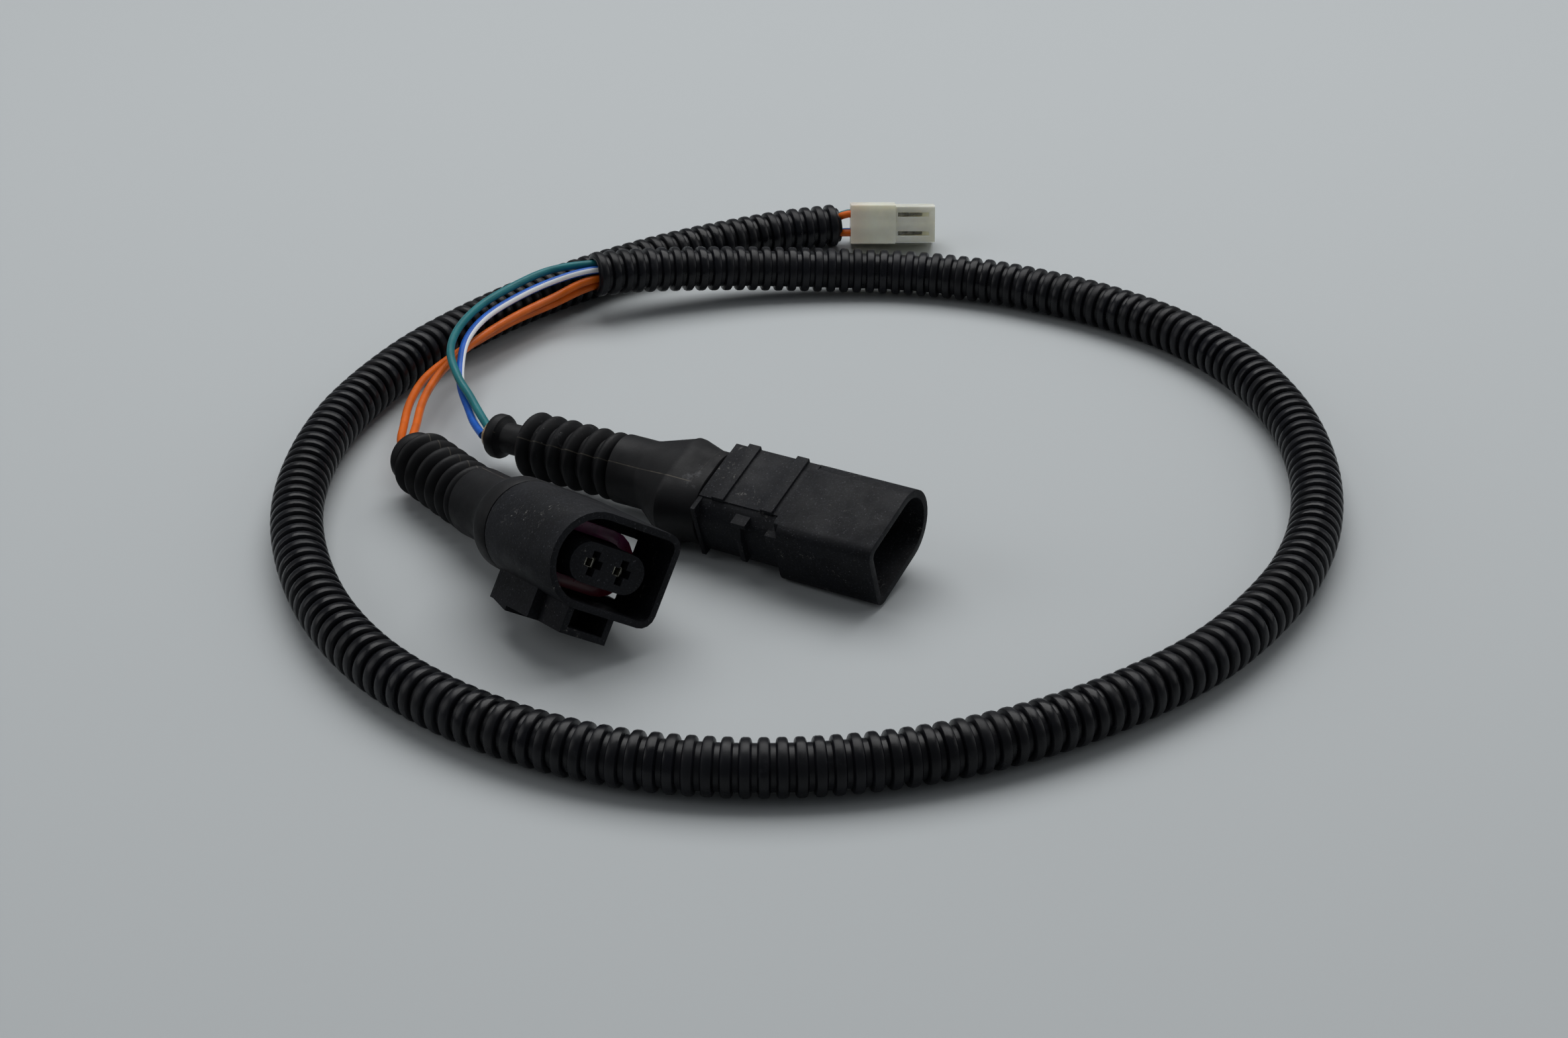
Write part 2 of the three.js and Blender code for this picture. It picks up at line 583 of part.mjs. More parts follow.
function socketBoot() {
  const collarEnd = SOCKET_LIP - SOCKET_COLLAR_LENGTH;
  const flareEnd = collarEnd - SOCKET_FLARE_LENGTH;
  const sleeveEnd = flareEnd - SOCKET_SLEEVE_LENGTH;
  const bellowsStart = sleeveEnd - RING_COUNT * SOCKET_RING_PITCH;
  const tail = bellowsStart - SOCKET_BEAD_LENGTH;
  const collar = SOCKET_COLLAR_RADIUS;
  const inside = collar * SPIGOT_SHARE;
  const bead = SOCKET_BEAD_RADIUS;
  const sleeve = SOCKET_RING_RADIUS + SLEEVE_STEP;
  const bore = SOCKET_RING_RADIUS - RING_DEPTH - BOOT_WALL;
  const profile = [
    [SOCKET_ENTRY_RADIUS, tail],
    [bead - BEAD_CHAMFER, tail],
    [bead, tail + BEAD_CHAMFER],
    [bead, bellowsStart - 2 * BEAD_CHAMFER],
    [bead - BEAD_CHAMFER, bellowsStart - BEAD_CHAMFER],
    ...bellows(bellowsStart, SOCKET_RING_RADIUS, SOCKET_RING_PITCH),
    [sleeve, sleeveEnd + SLEEVE_STEP],
    [sleeve, flareEnd - SOCKET_SLEEVE_LENGTH / 2],
    [sleeve, flareEnd],
    [sleeve + (collar - sleeve) * 0.12, flareEnd + SOCKET_FLARE_LENGTH * 0.3],
    [sleeve + (collar - sleeve) * 0.5, flareEnd + SOCKET_FLARE_LENGTH * 0.6],
    [collar - LIP_CHAMFER, flareEnd + SOCKET_FLARE_LENGTH * 0.9],
    [collar, collarEnd + LIP_CHAMFER],
    [collar, SOCKET_LIP - LIP_CHAMFER],
    [collar - LIP_CHAMFER, SOCKET_LIP],
    [inside, SOCKET_LIP],
    [inside, collarEnd],
    [bore, flareEnd],
    [bore, bellowsStart + SOCKET_RING_PITCH],
    [SOCKET_ENTRY_RADIUS, bellowsStart],
  ];
  const forms = [
    { station: flareEnd - 1 },
    { station: collarEnd, radius: collar, outline: SOCKET_COLLAR_OUTLINE },
  ];
  return piece('socket_boot', 'rubber', boot(profile, forms, SOCKET_BEND));
}

// Plug connector

const PLUG_OUTLINE = dOutline(PLUG_WIDTH, PLUG_HEIGHT, PLUG_CORNER, 1);
const PLUG_BODY_END = -PLUG_SHELL_LENGTH - PLUG_BODY_LENGTH;
const PLUG_LIP = PLUG_BODY_END - CLEARANCE;
const PLUG_HOLLOW_SHARE = 1 - 2 * BOOT_WALL / PLUG_COLLAR_HEIGHT;

function plugHousing() {
  const top = PLUG_HEIGHT / 2;
  const near = -PLUG_WIDTH / 2;
  const web = -PLUG_CAVITY_DEPTH;
  const cavity = dOutline(PLUG_WIDTH - 2 * PLUG_WALL, PLUG_HEIGHT - 2 * PLUG_WALL, PLUG_CAVITY_CORNER, 1);
  const shell = bar(PLUG_OUTLINE, -PLUG_SHELL_LENGTH, 0);
  const body = bar(plugBodyOutline(0), PLUG_BODY_END, -PLUG_SHELL_LENGTH + OVERRUN);
  const plateau = block(
    -PLATEAU_WIDTH / 2,
    PLATEAU_WIDTH / 2,
    0,
    top - PLATEAU_STEP,
    PLUG_BODY_END,
    -PLUG_SHELL_LENGTH + OVERRUN,
  );
  const flange = block(
    -FLANGE_NEAR,
    FLANGE_FAR,
    -FLANGE_BOTTOM,
    FLANGE_TOP,
    PLUG_BODY_END,
    PLUG_BODY_END + FLANGE_THICKNESS,
  );
  const spigotEnd = PLUG_BODY_END - PLUG_SPIGOT_LENGTH;
  const spigot = bar(plugSpigotOutline(), spigotEnd, PLUG_BODY_END + FLANGE_THICKNESS / 2);
  const firstRib = PLUG_BODY_END + FLANGE_THICKNESS + RIB_GAP;
  const secondRib = -PLUG_SHELL_LENGTH - SECOND_RIB_BACK - RIB_LENGTH;
  const ribs = [firstRib, secondRib].map((start) => block(
    -PLATEAU_WIDTH / 2 - RIB_OVERHANG,
    PLATEAU_WIDTH / 2 + RIB_OVERHANG,
    top - 2 * PLATEAU_STEP,
    top - PLATEAU_STEP + RIB_HEIGHT,
    start,
    start + RIB_LENGTH,
  ));
  const lug = block(
    near,
    near + LUG_WIDTH,
    top - PLUG_CORNER - LUG_HEIGHT,
    top - PLUG_CORNER,
    -PLUG_SHELL_LENGTH - LUG_LENGTH,
    -PLUG_SHELL_LENGTH + OVERRUN,
  );
  const notch = block(
    near - OVERRUN,
    near + LUG_WIDTH,
    top - PLUG_CORNER,
    top + OVERRUN,
    -PLUG_SHELL_LENGTH - OVERRUN,
    -PLUG_SHELL_LENGTH + NOTCH_LENGTH,
  );
  const solids = [cutBy(shell, [notch]), body, plateau, flange, spigot, ...ribs, lug, fin()];
  const cutters = [bar(cavity, web, OVERRUN)];
  for (const side of [-1, 1]) {
    const x = side * CONTACT_PITCH / 2;
    const halfWidth = BLADE_WIDTH / 2 + CLEARANCE;
    const halfThickness = BLADE_THICKNESS / 2 + CLEARANCE;
    cutters.push(block(x - halfWidth, x + halfWidth, -halfThickness, halfThickness, spigotEnd - OVERRUN, OVERRUN));
  }
  return piece('plug_housing', 'housing', geometryOf(cutBy(joined(solids), cutters)));
}

// The fin follows the round near side of the body, and its head reaches the plateau's edge
function fin() {
  const start = -PLUG_SHELL_LENGTH - FIN_BACK;
  const ring = bar(plugBodyOutline(FIN_HEIGHT), start, start + FIN_THICKNESS);
  const edge = -PLATEAU_WIDTH / 2 + FIN_INSET;
  const upper = PLUG_BODY_HEIGHT / 2 - FIN_TOP_MARGIN;
  const quarter = block(-PLUG_BODY_WIDTH, edge, -PLUG_BODY_HEIGHT / 4, upper, start, start + FIN_THICKNESS);
  const head = block(
    PLUG_BODY_SHIFT - PLUG_BODY_WIDTH / 2 - FIN_HEIGHT / 2,
    edge,
    upper - FIN_THICKNESS,
    upper,
    start - FIN_THICKNESS,
    start + 2 * FIN_THICKNESS,
  );
  return joined([ring.intersect(quarter), head]);
}

function plugBodyOutline(growth) {
  const outline = roundedOutline(
    PLUG_BODY_WIDTH + 2 * growth,
    PLUG_BODY_HEIGHT + 2 * growth,
    PLUG_BODY_CORNER + growth,
  );
  return shifted(outline, PLUG_BODY_SHIFT);
}

// The spigot keeps its clearance inside the collar, whose hollow is the collar's outline made smaller
function plugSpigotOutline() {
  const outline = ovalOutline(
    PLUG_COLLAR_WIDTH * PLUG_HOLLOW_SHARE - 2 * CLEARANCE,
    PLUG_COLLAR_HEIGHT * PLUG_HOLLOW_SHARE - 2 * CLEARANCE,
  );
  return shifted(outline, PLUG_COLLAR_SHIFT * PLUG_HOLLOW_SHARE);
}

function blade(side) {
  const x = side * CONTACT_PITCH / 2;
  const tip = BLADE_WIDTH / 2 - BLADE_TIP;
  const outline = [
    new THREE.Vector2(x - BLADE_WIDTH / 2, -PLUG_CAVITY_DEPTH - BLADE_TAIL),
    new THREE.Vector2(x + BLADE_WIDTH / 2, -PLUG_CAVITY_DEPTH - BLADE_TAIL),
    new THREE.Vector2(x + BLADE_WIDTH / 2, -BLADE_RECESS - BLADE_TIP_LENGTH),
    new THREE.Vector2(x + tip, -BLADE_RECESS),
    new THREE.Vector2(x - tip, -BLADE_RECESS),
    new THREE.Vector2(x - BLADE_WIDTH / 2, -BLADE_RECESS - BLADE_TIP_LENGTH),
  ];
  const geometry = new THREE.ExtrudeGeometry(new THREE.Shape(outline), { depth: BLADE_THICKNESS, bevelEnabled: false });
  geometry.translate(0, 0, -BLADE_THICKNESS / 2);
  geometry.rotateX(RIGHT_ANGLE);
  return piece(`plug_blade_${side < 0 ? 1 : 2}`, 'contact', geometry);
}

const PLUG_FLARE_FRONT = PLUG_LIP - PLUG_COLLAR_LENGTH;
const PLUG_FLARE_BACK = PLUG_FLARE_FRONT - PLUG_FLARE_LENGTH;
const PLUG_SLEEVE_BACK = PLUG_FLARE_BACK - PLUG_SLEEVE_LENGTH;
const PLUG_BELLOWS_BACK = PLUG_SLEEVE_BACK - RING_COUNT * PLUG_RING_PITCH;
const PLUG_TAIL = PLUG_BELLOWS_BACK - PLUG_NECK_LENGTH - PLUG_BEAD_LENGTH;
const PLUG_TAIL_BEND = { ...PLUG_BEND, start: PLUG_FLARE_BACK };

function plugBoot() {
  const collar = PLUG_COLLAR_RADIUS;
  const inside = collar * PLUG_HOLLOW_SHARE;
  const sleeve = PLUG_RING_RADIUS + SLEEVE_STEP;
  const bore = PLUG_RING_RADIUS - RING_DEPTH - BOOT_WALL;
  const pocket = PLUG_BODY_END - PLUG_SPIGOT_LENGTH - CLEARANCE;
  const bead = PLUG_BEAD_RADIUS;
  const profile = [
    [PLUG_ENTRY_RADIUS, PLUG_TAIL],
    [bead - BEAD_CHAMFER, PLUG_TAIL],
    [bead, PLUG_TAIL + BEAD_CHAMFER],
    [bead, PLUG_TAIL + PLUG_BEAD_LENGTH - BEAD_CHAMFER],
    [bead - BEAD_CHAMFER, PLUG_TAIL + PLUG_BEAD_LENGTH],
    [PLUG_NECK_RADIUS, PLUG_TAIL + PLUG_BEAD_LENGTH + BEAD_CHAMFER],
    [PLUG_NECK_RADIUS, PLUG_BELLOWS_BACK - BEAD_CHAMFER],
    ...bellows(PLUG_BELLOWS_BACK, PLUG_RING_RADIUS, PLUG_RING_PITCH),
    [sleeve, PLUG_SLEEVE_BACK + SLEEVE_STEP],
    [sleeve, PLUG_FLARE_BACK],
    [collar, PLUG_FLARE_FRONT],
    [collar, PLUG_FLARE_FRONT + 2 * LIP_CHAMFER],
    [collar, PLUG_LIP - LIP_CHAMFER],
    [collar - LIP_CHAMFER, PLUG_LIP],
    [inside, PLUG_LIP],
    [inside, pocket],
    [bore, PLUG_FLARE_BACK],
    [bore, PLUG_BELLOWS_BACK + PLUG_RING_PITCH],
    [PLUG_ENTRY_RADIUS, PLUG_BELLOWS_BACK],
  ];
  const flare = shifted(roundedOutline(PLUG_FLARE_WIDTH, PLUG_FLARE_HEIGHT, PLUG_FLARE_CORNER), PLUG_COLLAR_SHIFT);
  const lip = shifted(ovalOutline(PLUG_COLLAR_WIDTH, PLUG_COLLAR_HEIGHT), PLUG_COLLAR_SHIFT);
  const forms = [
    { station: PLUG_FLARE_BACK },
    { station: PLUG_FLARE_FRONT, radius: collar, outline: flare },
    { station: PLUG_LIP - PLUG_COLLAR_LENGTH / 4, radius: collar, outline: lip },
  ];
  return piece('plug_boot', 'rubber', boot(profile, forms, PLUG_TAIL_BEND));
}

function sealantTip() {
  const radius = PLUG_ENTRY_RADIUS - CLEARANCE;
  const dome = arcPoints(0, 0, 1, -RIGHT_ANGLE, 0, 4).map((point) => [
    point.x * radius,
    PLUG_TAIL + point.y * SEALANT_DOME,
  ]);
  const profile = [...dome, [radius, PLUG_TAIL + PLUG_BEAD_LENGTH], [0, PLUG_TAIL + PLUG_BEAD_LENGTH]];
  const points = profile.map(([x, station]) => new THREE.Vector2(x, station));
  const geometry = new THREE.LatheGeometry(points, 12);
  geometry.rotateX(RIGHT_ANGLE);
  const position = geometry.attributes.position;
  const vertex = new THREE.Vector3();
  for (let index = 0; index < position.count; index += 1) {
    vertex.fromBufferAttribute(position, index);
    bendTail(vertex, PLUG_TAIL_BEND);
    position.setXYZ(index, vertex.x, vertex.y, vertex.z);
  }
  return piece('plug_boot_sealant', 'sealant', geometry);
}

// White connector

const WHITE_LENGTH = WHITE_REAR_LENGTH + WHITE_FRONT_LENGTH;
const WHITE_CELLS = [[-1, 1], [-1, -1], [1, 1], [1, -1]];

function whiteHousing() {
  const half = WHITE_FRONT_SIZE / 2;
  const cavity = WHITE_CAVITY / 2;
  const channel = WHITE_CHANNEL / 2;
  const solids = [
    bar(roundedOutline(WHITE_SIZE, WHITE_SIZE, WHITE_CORNER), 0, WHITE_REAR_LENGTH),
    bar(
      roundedOutline(WHITE_FRONT_SIZE, WHITE_FRONT_SIZE, WHITE_CORNER),
      WHITE_REAR_LENGTH - OVERRUN,
      WHITE_LENGTH,
    ),
  ];
  const cutters = [];
  for (const [column, row] of WHITE_CELLS) {
    const x = column * WHITE_PITCH / 2;
    const y = row * WHITE_PITCH / 2;
    const floor = WHITE_LENGTH - WHITE_CAVITY_DEPTH;
    cutters.push(block(x - channel, x + channel, y - channel, y + channel, -OVERRUN, floor + OVERRUN));
    cutters.push(block(x - cavity, x + cavity, y - cavity, y + cavity, floor, WHITE_LENGTH + OVERRUN));
    cutters.push(block(
      Math.min(x, column * (half + OVERRUN)),
      Math.max(x, column * (half + OVERRUN)),
      y - WHITE_SLOT_HEIGHT / 2,
      y + WHITE_SLOT_HEIGHT / 2,
      floor + WHITE_SLOT_REAR_MARGIN,
      WHITE_LENGTH - WHITE_SLOT_FRONT_MARGIN,
    ));
  }
  return piece('white_connector_housing', 'white', geometryOf(cutBy(joined(solids), cutters)));
}

function pin(index) {
  const [column, row] = WHITE_CELLS[index];
  const x = column * WHITE_PITCH / 2;
  const y = row * WHITE_PITCH / 2;
  const half = PIN_SIZE / 2;
  const rear = WHITE_WIRE_INSERTION + CLEARANCE;
  const shoulder = WHITE_LENGTH - WHITE_CAVITY_DEPTH + CLEARANCE;
  const body = block(x - half, x + half, y - half, y + half, rear, shoulder);
  const tab = block(
    x - half,
    x + half,
    y - PIN_TAB_THICKNESS / 2,
    y + PIN_TAB_THICKNESS / 2,
    shoulder - OVERRUN,
    shoulder + PIN_TAB_LENGTH,
  );
  return piece(`white_connector_pin_${index + 1}`, 'contact', geometryOf(joined([body, tab])));
}

// The point of the white connector's wire channel at one cell and station, in the part's frame
function channelPoint(index, station) {
  const [column, row] = WHITE_CELLS[index];
  const roll = THREE.MathUtils.degToRad(WHITE_PLACE.roll);
  const x = column * WHITE_PITCH / 2;
  const y = row * WHITE_PITCH / 2;
  return [
    WHITE_PLACE.at[0] + station,
    WHITE_PLACE.at[1] + x * Math.cos(roll) - y * Math.sin(roll),
    WHITE_PLACE.at[2] + x * Math.sin(roll) + y * Math.cos(roll),
  ];
}

function rearWire(name, look, index) {
  const end = channelPoint(index, WHITE_WIRE_INSERTION);
  const rearFace = channelPoint(index, -CLEARANCE);
  const [before, conduitEnd] = CONDUIT_ROUTE.slice(-2).map((point) => new THREE.Vector3(...point));
  const slant = (conduitEnd.y - before.y) / (conduitEnd.x - before.x);
  const y = THREE.MathUtils.lerp(conduitEnd.y, rearFace[1], WIRE_SPREAD);
  const z = THREE.MathUtils.lerp(conduitEnd.z, rearFace[2], WIRE_SPREAD);
  const x = conduitEnd.x + CLEARANCE + slant * (WIRE_DIAMETER / 2 + conduitEnd.y - y);
  return wire(name, look, [[x, y, z], end], 1);
}

// The whole harness

const harness = new THREE.Group();
harness.name = 'wiring_harness';
harness.add(
  tube('corrugated_conduit', 'conduit', CONDUIT_ROUTE, CONDUIT_DIAMETER, CONDUIT_SIDES, CONDUIT_STEPS),
  wire('teal_wire', 'teal', TEAL_ROUTE, WIRE_STEPS),
  wire('blue_striped_wire', 'blue', BLUE_ROUTE, WIRE_STEPS),
  wire('orange_wire_1', 'orange', ORANGE_1_ROUTE, WIRE_STEPS),
  wire('orange_wire_2', 'orange', ORANGE_2_ROUTE, WIRE_STEPS),
  rearWire('rear_orange_wire_1', 'orange', 0),
  rearWire('rear_orange_wire_2', 'orange', 1),
  rearWire('rear_teal_wire', 'teal', 2),
  rearWire('rear_blue_striped_wire', 'blue', 3),
  placed(SOCKET_PLACE, [socketHousing(), sealRing(), receptacle(-1), receptacle(1), socketBoot()]),
  placed(PLUG_PLACE, [plugHousing(), blade(-1), blade(1), plugBoot(), sealantTip()]),
  placed(WHITE_PLACE, [whiteHousing(), pin(0), pin(1), pin(2), pin(3)]),
);

export default harness;
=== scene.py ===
"""A wiring harness: a ribbed conduit in one loop with four wires and three connectors."""

import math

import bmesh
import bpy
import numpy as np
from mathutils import Matrix, Vector


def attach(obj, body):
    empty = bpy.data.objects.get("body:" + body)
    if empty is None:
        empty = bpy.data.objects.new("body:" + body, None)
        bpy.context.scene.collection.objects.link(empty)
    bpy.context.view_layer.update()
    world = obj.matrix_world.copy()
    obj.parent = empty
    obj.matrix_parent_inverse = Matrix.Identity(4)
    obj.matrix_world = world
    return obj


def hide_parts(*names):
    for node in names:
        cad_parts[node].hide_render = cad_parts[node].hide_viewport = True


bl_info = {
    "name": "Wiring harness",
    "version": (1, 0, 0),
    "blender": (4, 5, 0),
    "location": "3D View > Sidebar > Harness",
    "description": "Dresses a wiring harness: its conduit, wires, boots and connectors",
    "category": "Add Mesh",
}

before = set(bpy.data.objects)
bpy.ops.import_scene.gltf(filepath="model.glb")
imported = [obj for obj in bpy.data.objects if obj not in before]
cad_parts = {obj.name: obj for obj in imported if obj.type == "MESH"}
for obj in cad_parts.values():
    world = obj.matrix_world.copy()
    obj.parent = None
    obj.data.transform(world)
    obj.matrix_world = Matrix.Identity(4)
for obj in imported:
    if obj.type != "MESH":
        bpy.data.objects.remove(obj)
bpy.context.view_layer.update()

MM = 0.001

# How finely round pieces are divided: sides round each, then degrees along an outline's arcs,
# steps from point to point of a route, and metres along the bore and the wires
BOOT_SIDES = 72
CONDUIT_SIDES = 30
SEALANT_SIDES = 28
WIRE_SIDES = 20
ARC_STEP = 4
CURVE_STEPS = 60
BORE_STEP = 0.004
WIRE_STEP = 0.0012

# Angles, in degrees, past which an edge is shaded sharp, and past which a housing's edge is rounded
SHARP_EDGE = 34
ROUNDED_EDGE = 35

# Distances, in metres, under which points of a turned piece and of a CAD node are one point
TURNED_MERGE = 1e-7
CAD_MERGE = 2e-6

# Centre lines of the conduit and the wires, in metres. The conduit runs from its raised open end
# round the loop to the white connector.
CONDUIT_ROUTE = [
    (-0.0192, 0.0442, 0.0092), (-0.0129, 0.0471, 0.0086), (-0.0062, 0.0495, 0.0079),
    (0.0008, 0.0514, 0.0072), (0.0105, 0.0537, 0.0062), (0.0262, 0.0554, 0.0051),
    (0.0421, 0.0552, 0.0046), (0.0576, 0.0517, 0.0045), (0.0685, 0.0470, 0.0045),
    (0.0803, 0.0401, 0.0045), (0.0934, 0.0286, 0.0045), (0.1035, 0.0128, 0.0045),
    (0.1092, -0.0067, 0.0045), (0.1099, -0.0268, 0.0045), (0.1069, -0.0446, 0.0045),
    (0.1013, -0.0594, 0.0045), (0.0937, -0.0719, 0.0045), (0.0837, -0.0840, 0.0045),
    (0.0718, -0.0939, 0.0045), (0.0584, -0.1021, 0.0045), (0.0446, -0.1081, 0.0045),
    (0.0312, -0.1116, 0.0045), (0.0172, -0.1131, 0.0045), (0.0036, -0.1124, 0.0045),
    (-0.0091, -0.1096, 0.0045), (-0.0216, -0.1042, 0.0045), (-0.0333, -0.0965, 0.0045),
    (-0.0441, -0.0862, 0.0045), (-0.0533, -0.0726, 0.0045), (-0.0601, -0.0561, 0.0045),
    (-0.0637, -0.0397, 0.0045), (-0.0640, -0.0238, 0.0045), (-0.0616, -0.0076, 0.0045),
    (-0.0559, 0.0084, 0.0045), (-0.0481, 0.0228, 0.0045), (-0.0301, 0.0448, 0.0045),
    (-0.0079, 0.0627, 0.0045), (0.0164, 0.0752, 0.0045), (0.0295, 0.0792, 0.0045),
]
# Each wire's first two points lie in the conduit's bore
TEAL_ROUTE = [
    (-0.0068, 0.0499, 0.0088), (-0.0136, 0.0476, 0.0100), (-0.0206, 0.0449, 0.0111),
    (-0.0277, 0.0424, 0.0109), (-0.0344, 0.0352, 0.0107), (-0.0396, 0.0272, 0.0105),
    (-0.0428, 0.0176, 0.0102), (-0.0432, 0.0090, 0.0097), (-0.0408, 0.0007, 0.0086),
    (-0.0383, -0.0046, 0.0078), (-0.0361, -0.0098, 0.0072), (-0.0339, -0.0149, 0.0068),
]
BLUE_ROUTE = [
    (-0.0056, 0.0484, 0.0088), (-0.0130, 0.0462, 0.0097), (-0.0204, 0.0434, 0.0103),
    (-0.0271, 0.0402, 0.0095), (-0.0336, 0.0332, 0.0092), (-0.0387, 0.0248, 0.0090),
    (-0.0411, 0.0162, 0.0087), (-0.0413, 0.0079, 0.0079), (-0.0406, 0.0012, 0.0067),
    (-0.0386, -0.0054, 0.0058), (-0.0369, -0.0112, 0.0058), (-0.0348, -0.0164, 0.0061),
]
ORANGE_1_ROUTE = [
    (-0.0059, 0.0484, 0.0069), (-0.0131, 0.0459, 0.0080), (-0.0201, 0.0427, 0.0086),
    (-0.0267, 0.0384, 0.0070), (-0.0327, 0.0314, 0.0068), (-0.0379, 0.0234, 0.0068),
    (-0.0422, 0.0151, 0.0066), (-0.0453, 0.0063, 0.0064), (-0.0469, -0.0029, 0.0062),
    (-0.0470, -0.0128, 0.0061), (-0.0469, -0.0182, 0.0062), (-0.0448, -0.0245, 0.0063),
]
ORANGE_2_ROUTE = [
    (-0.0068, 0.0501, 0.0069), (-0.0132, 0.0470, 0.0067), (-0.0198, 0.0434, 0.0069),
    (-0.0271, 0.0392, 0.0051), (-0.0336, 0.0324, 0.0050), (-0.0393, 0.0244, 0.0050),
    (-0.0443, 0.0158, 0.0052), (-0.0479, 0.0065, 0.0056), (-0.0493, -0.0036, 0.0059),
    (-0.0492, -0.0132, 0.0060), (-0.0488, -0.0192, 0.0062), (-0.0464, -0.0257, 0.0063),
]

# Where each connector lies: the middle of its mouth or rear face in millimetres, then its heading,
# how far its nose is raised and its roll, in degrees. The white one's cells are told by column and
# row, a pitch apart, and its wires reach in by the insertion.
SOCKET_PLACE = ((-8.1, -77.1, 16.05), -54.8, 11.3, -33.8)
PLUG_PLACE = ((37.1, -57.8, 9.0), -30.0, 1.4, 17.0)
WHITE_PLACE = ((32.2, 78.4, 5.3), 0.0, 0.0, -20.0)
WHITE_PITCH = 3.9
WHITE_INSERTION = 2.0
WHITE_CELLS = ((-1, 1), (-1, -1), (1, 1), (1, -1))

# A rear wire's way into the conduit: the length that it runs straight behind the white connector,
# then how far inside the conduit it passes, in metres, and the share of its cell's offset it keeps
REAR_STRAIGHT = 0.0006
REAR_SPREAD = ((0.0008, 0.78), (0.008, 0.62), (0.018, 0.5), (0.03, 0.45))

# Where the blue wire's white stripe begins and is full, on its Z and Y sides in millimetres
STRIPE_Z = (-0.3, -0.2)
STRIPE_Y = (0.38, 0.46)

# The boots' parting line in millimetres: how wide and high it stands, the radius below which there
# is none, and the value that means none
SEAM_WIDTH = 0.35
SEAM_HEIGHT = 0.04
SEAM_INNER_RADIUS = 3.3
NO_SEAM = 9.0

# How each boot's tail turns off its axis: station, length, angle and side
SOCKET_BEND = (-41.0, 10.0, 9.5, 136.0)
PLUG_BEND = (-47.2, 30.0, 3.0, -57.0)

# Where each boot's parting line runs: the angle of its plane, its first and its last station
SOCKET_SEAM = (112, -62, -22)
PLUG_SEAM = (124, -79, -34)

# The sealant tip's profile of (station, radius), from inside the plug's boot to its rounded end
SEALANT_PROFILE = (
    (-78.6, 1.6), (-80.84, 1.6), (-80.84, 3.15), (-81.1, 3.2), (-81.5, 3.0), (-81.9, 2.5),
    (-82.25, 1.7), (-82.4, 0.5),
)
SEALANT_UNEVENNESS = 0.07

# Tones that lie on or in the finishes, beside the colours that the panel offers
BORE_TONES = ((0.004, 0.004, 0.005), (0.012, 0.012, 0.014))
SEALANT_TONES = ((0.10, 0.065, 0.03), (0.34, 0.26, 0.15))
TIN_TONES = ((0.17, 0.165, 0.135), (0.44, 0.43, 0.36))
# Bluish grey of the conduit's painted glints, which also serves as its random lighter mottling
CONDUIT_GLINT_AND_MOTTLE = (0.034, 0.035, 0.040)
STRIPE_WHITE = (0.86, 0.88, 0.9)
RUBBER_DUST = (0.10, 0.102, 0.108)
RUBBER_SPECKS = (0.21, 0.21, 0.205)
PARTING_TONE = (0.085, 0.075, 0.06)
HOUSING_GRAIN = (0.023, 0.025, 0.031)
HOUSING_SPECKS = (0.085, 0.085, 0.095)
HOUSING_LINT = (0.10, 0.098, 0.094)
HOUSING_CHIPS = (0.20, 0.195, 0.18)
# Darker red of the seal's painted shade towards its bottom
SEAL_SHADE_RED = (0.17, 0.003, 0.012)
WHITE_BLUSH = (0.78, 0.60, 0.52)
# Yellowish tone of the white connector's painted shade towards its bottom
WHITE_SHADE_YELLOW = (0.74, 0.66, 0.36)

# The camera, the floor and the light, in metres, degrees and watts
CAMERA_PLACE = (0.0183, -0.4001, 0.2141)
CAMERA_TILT = 59.6
CAMERA_LENS_MM = 56.81
CAMERA_SENSOR_MM = 36
CAMERA_NEAR = 0.01
FLOOR_REACH = 2.5
FLOOR_DROP = 0.00005
SKY_COLOUR = (0.86, 0.9, 0.95, 1)
SKY_STRENGTH = 0.15
# Each lamp's name, place, turn, width, depth and power
LAMPS = (
    ("overhead", (0.05, 0.35, 0.75), (-25, 0, 0), 0.9, 0.7, 6.6),
    ("left", (-0.75, -0.1, 0.45), (0, -58, 0), 0.6, 0.6, 1.3),
    ("right", (0.8, 0.05, 0.45), (0, 60, 0), 0.6, 0.6, 1.1),
)


class HarnessSizes(bpy.types.PropertyGroup):
    conduit_diameter: bpy.props.FloatProperty(
        name="Conduit diameter", description="Outside diameter over the ribs",
        default=0.0088, unit="LENGTH")
    conduit_bore: bpy.props.FloatProperty(
        name="Conduit bore", description="Inside diameter of the conduit",
        default=0.0063, unit="LENGTH")
    rib_pitch: bpy.props.FloatProperty(
        name="Rib pitch", description="Distance from rib to rib", default=0.00265, unit="LENGTH")
    rib_depth: bpy.props.FloatProperty(
        name="Rib depth", description="Depth of the grooves between ribs",
        default=0.00085, unit="LENGTH")
    wire_diameter: bpy.props.FloatProperty(
        name="Wire diameter", description="Outside diameter of each wire's insulation",
        default=0.0015, unit="LENGTH")
    edge_radius: bpy.props.FloatProperty(
        name="Edge radius", description="Rounding of the housings' moulded edges",
        default=0.00028, unit="LENGTH")


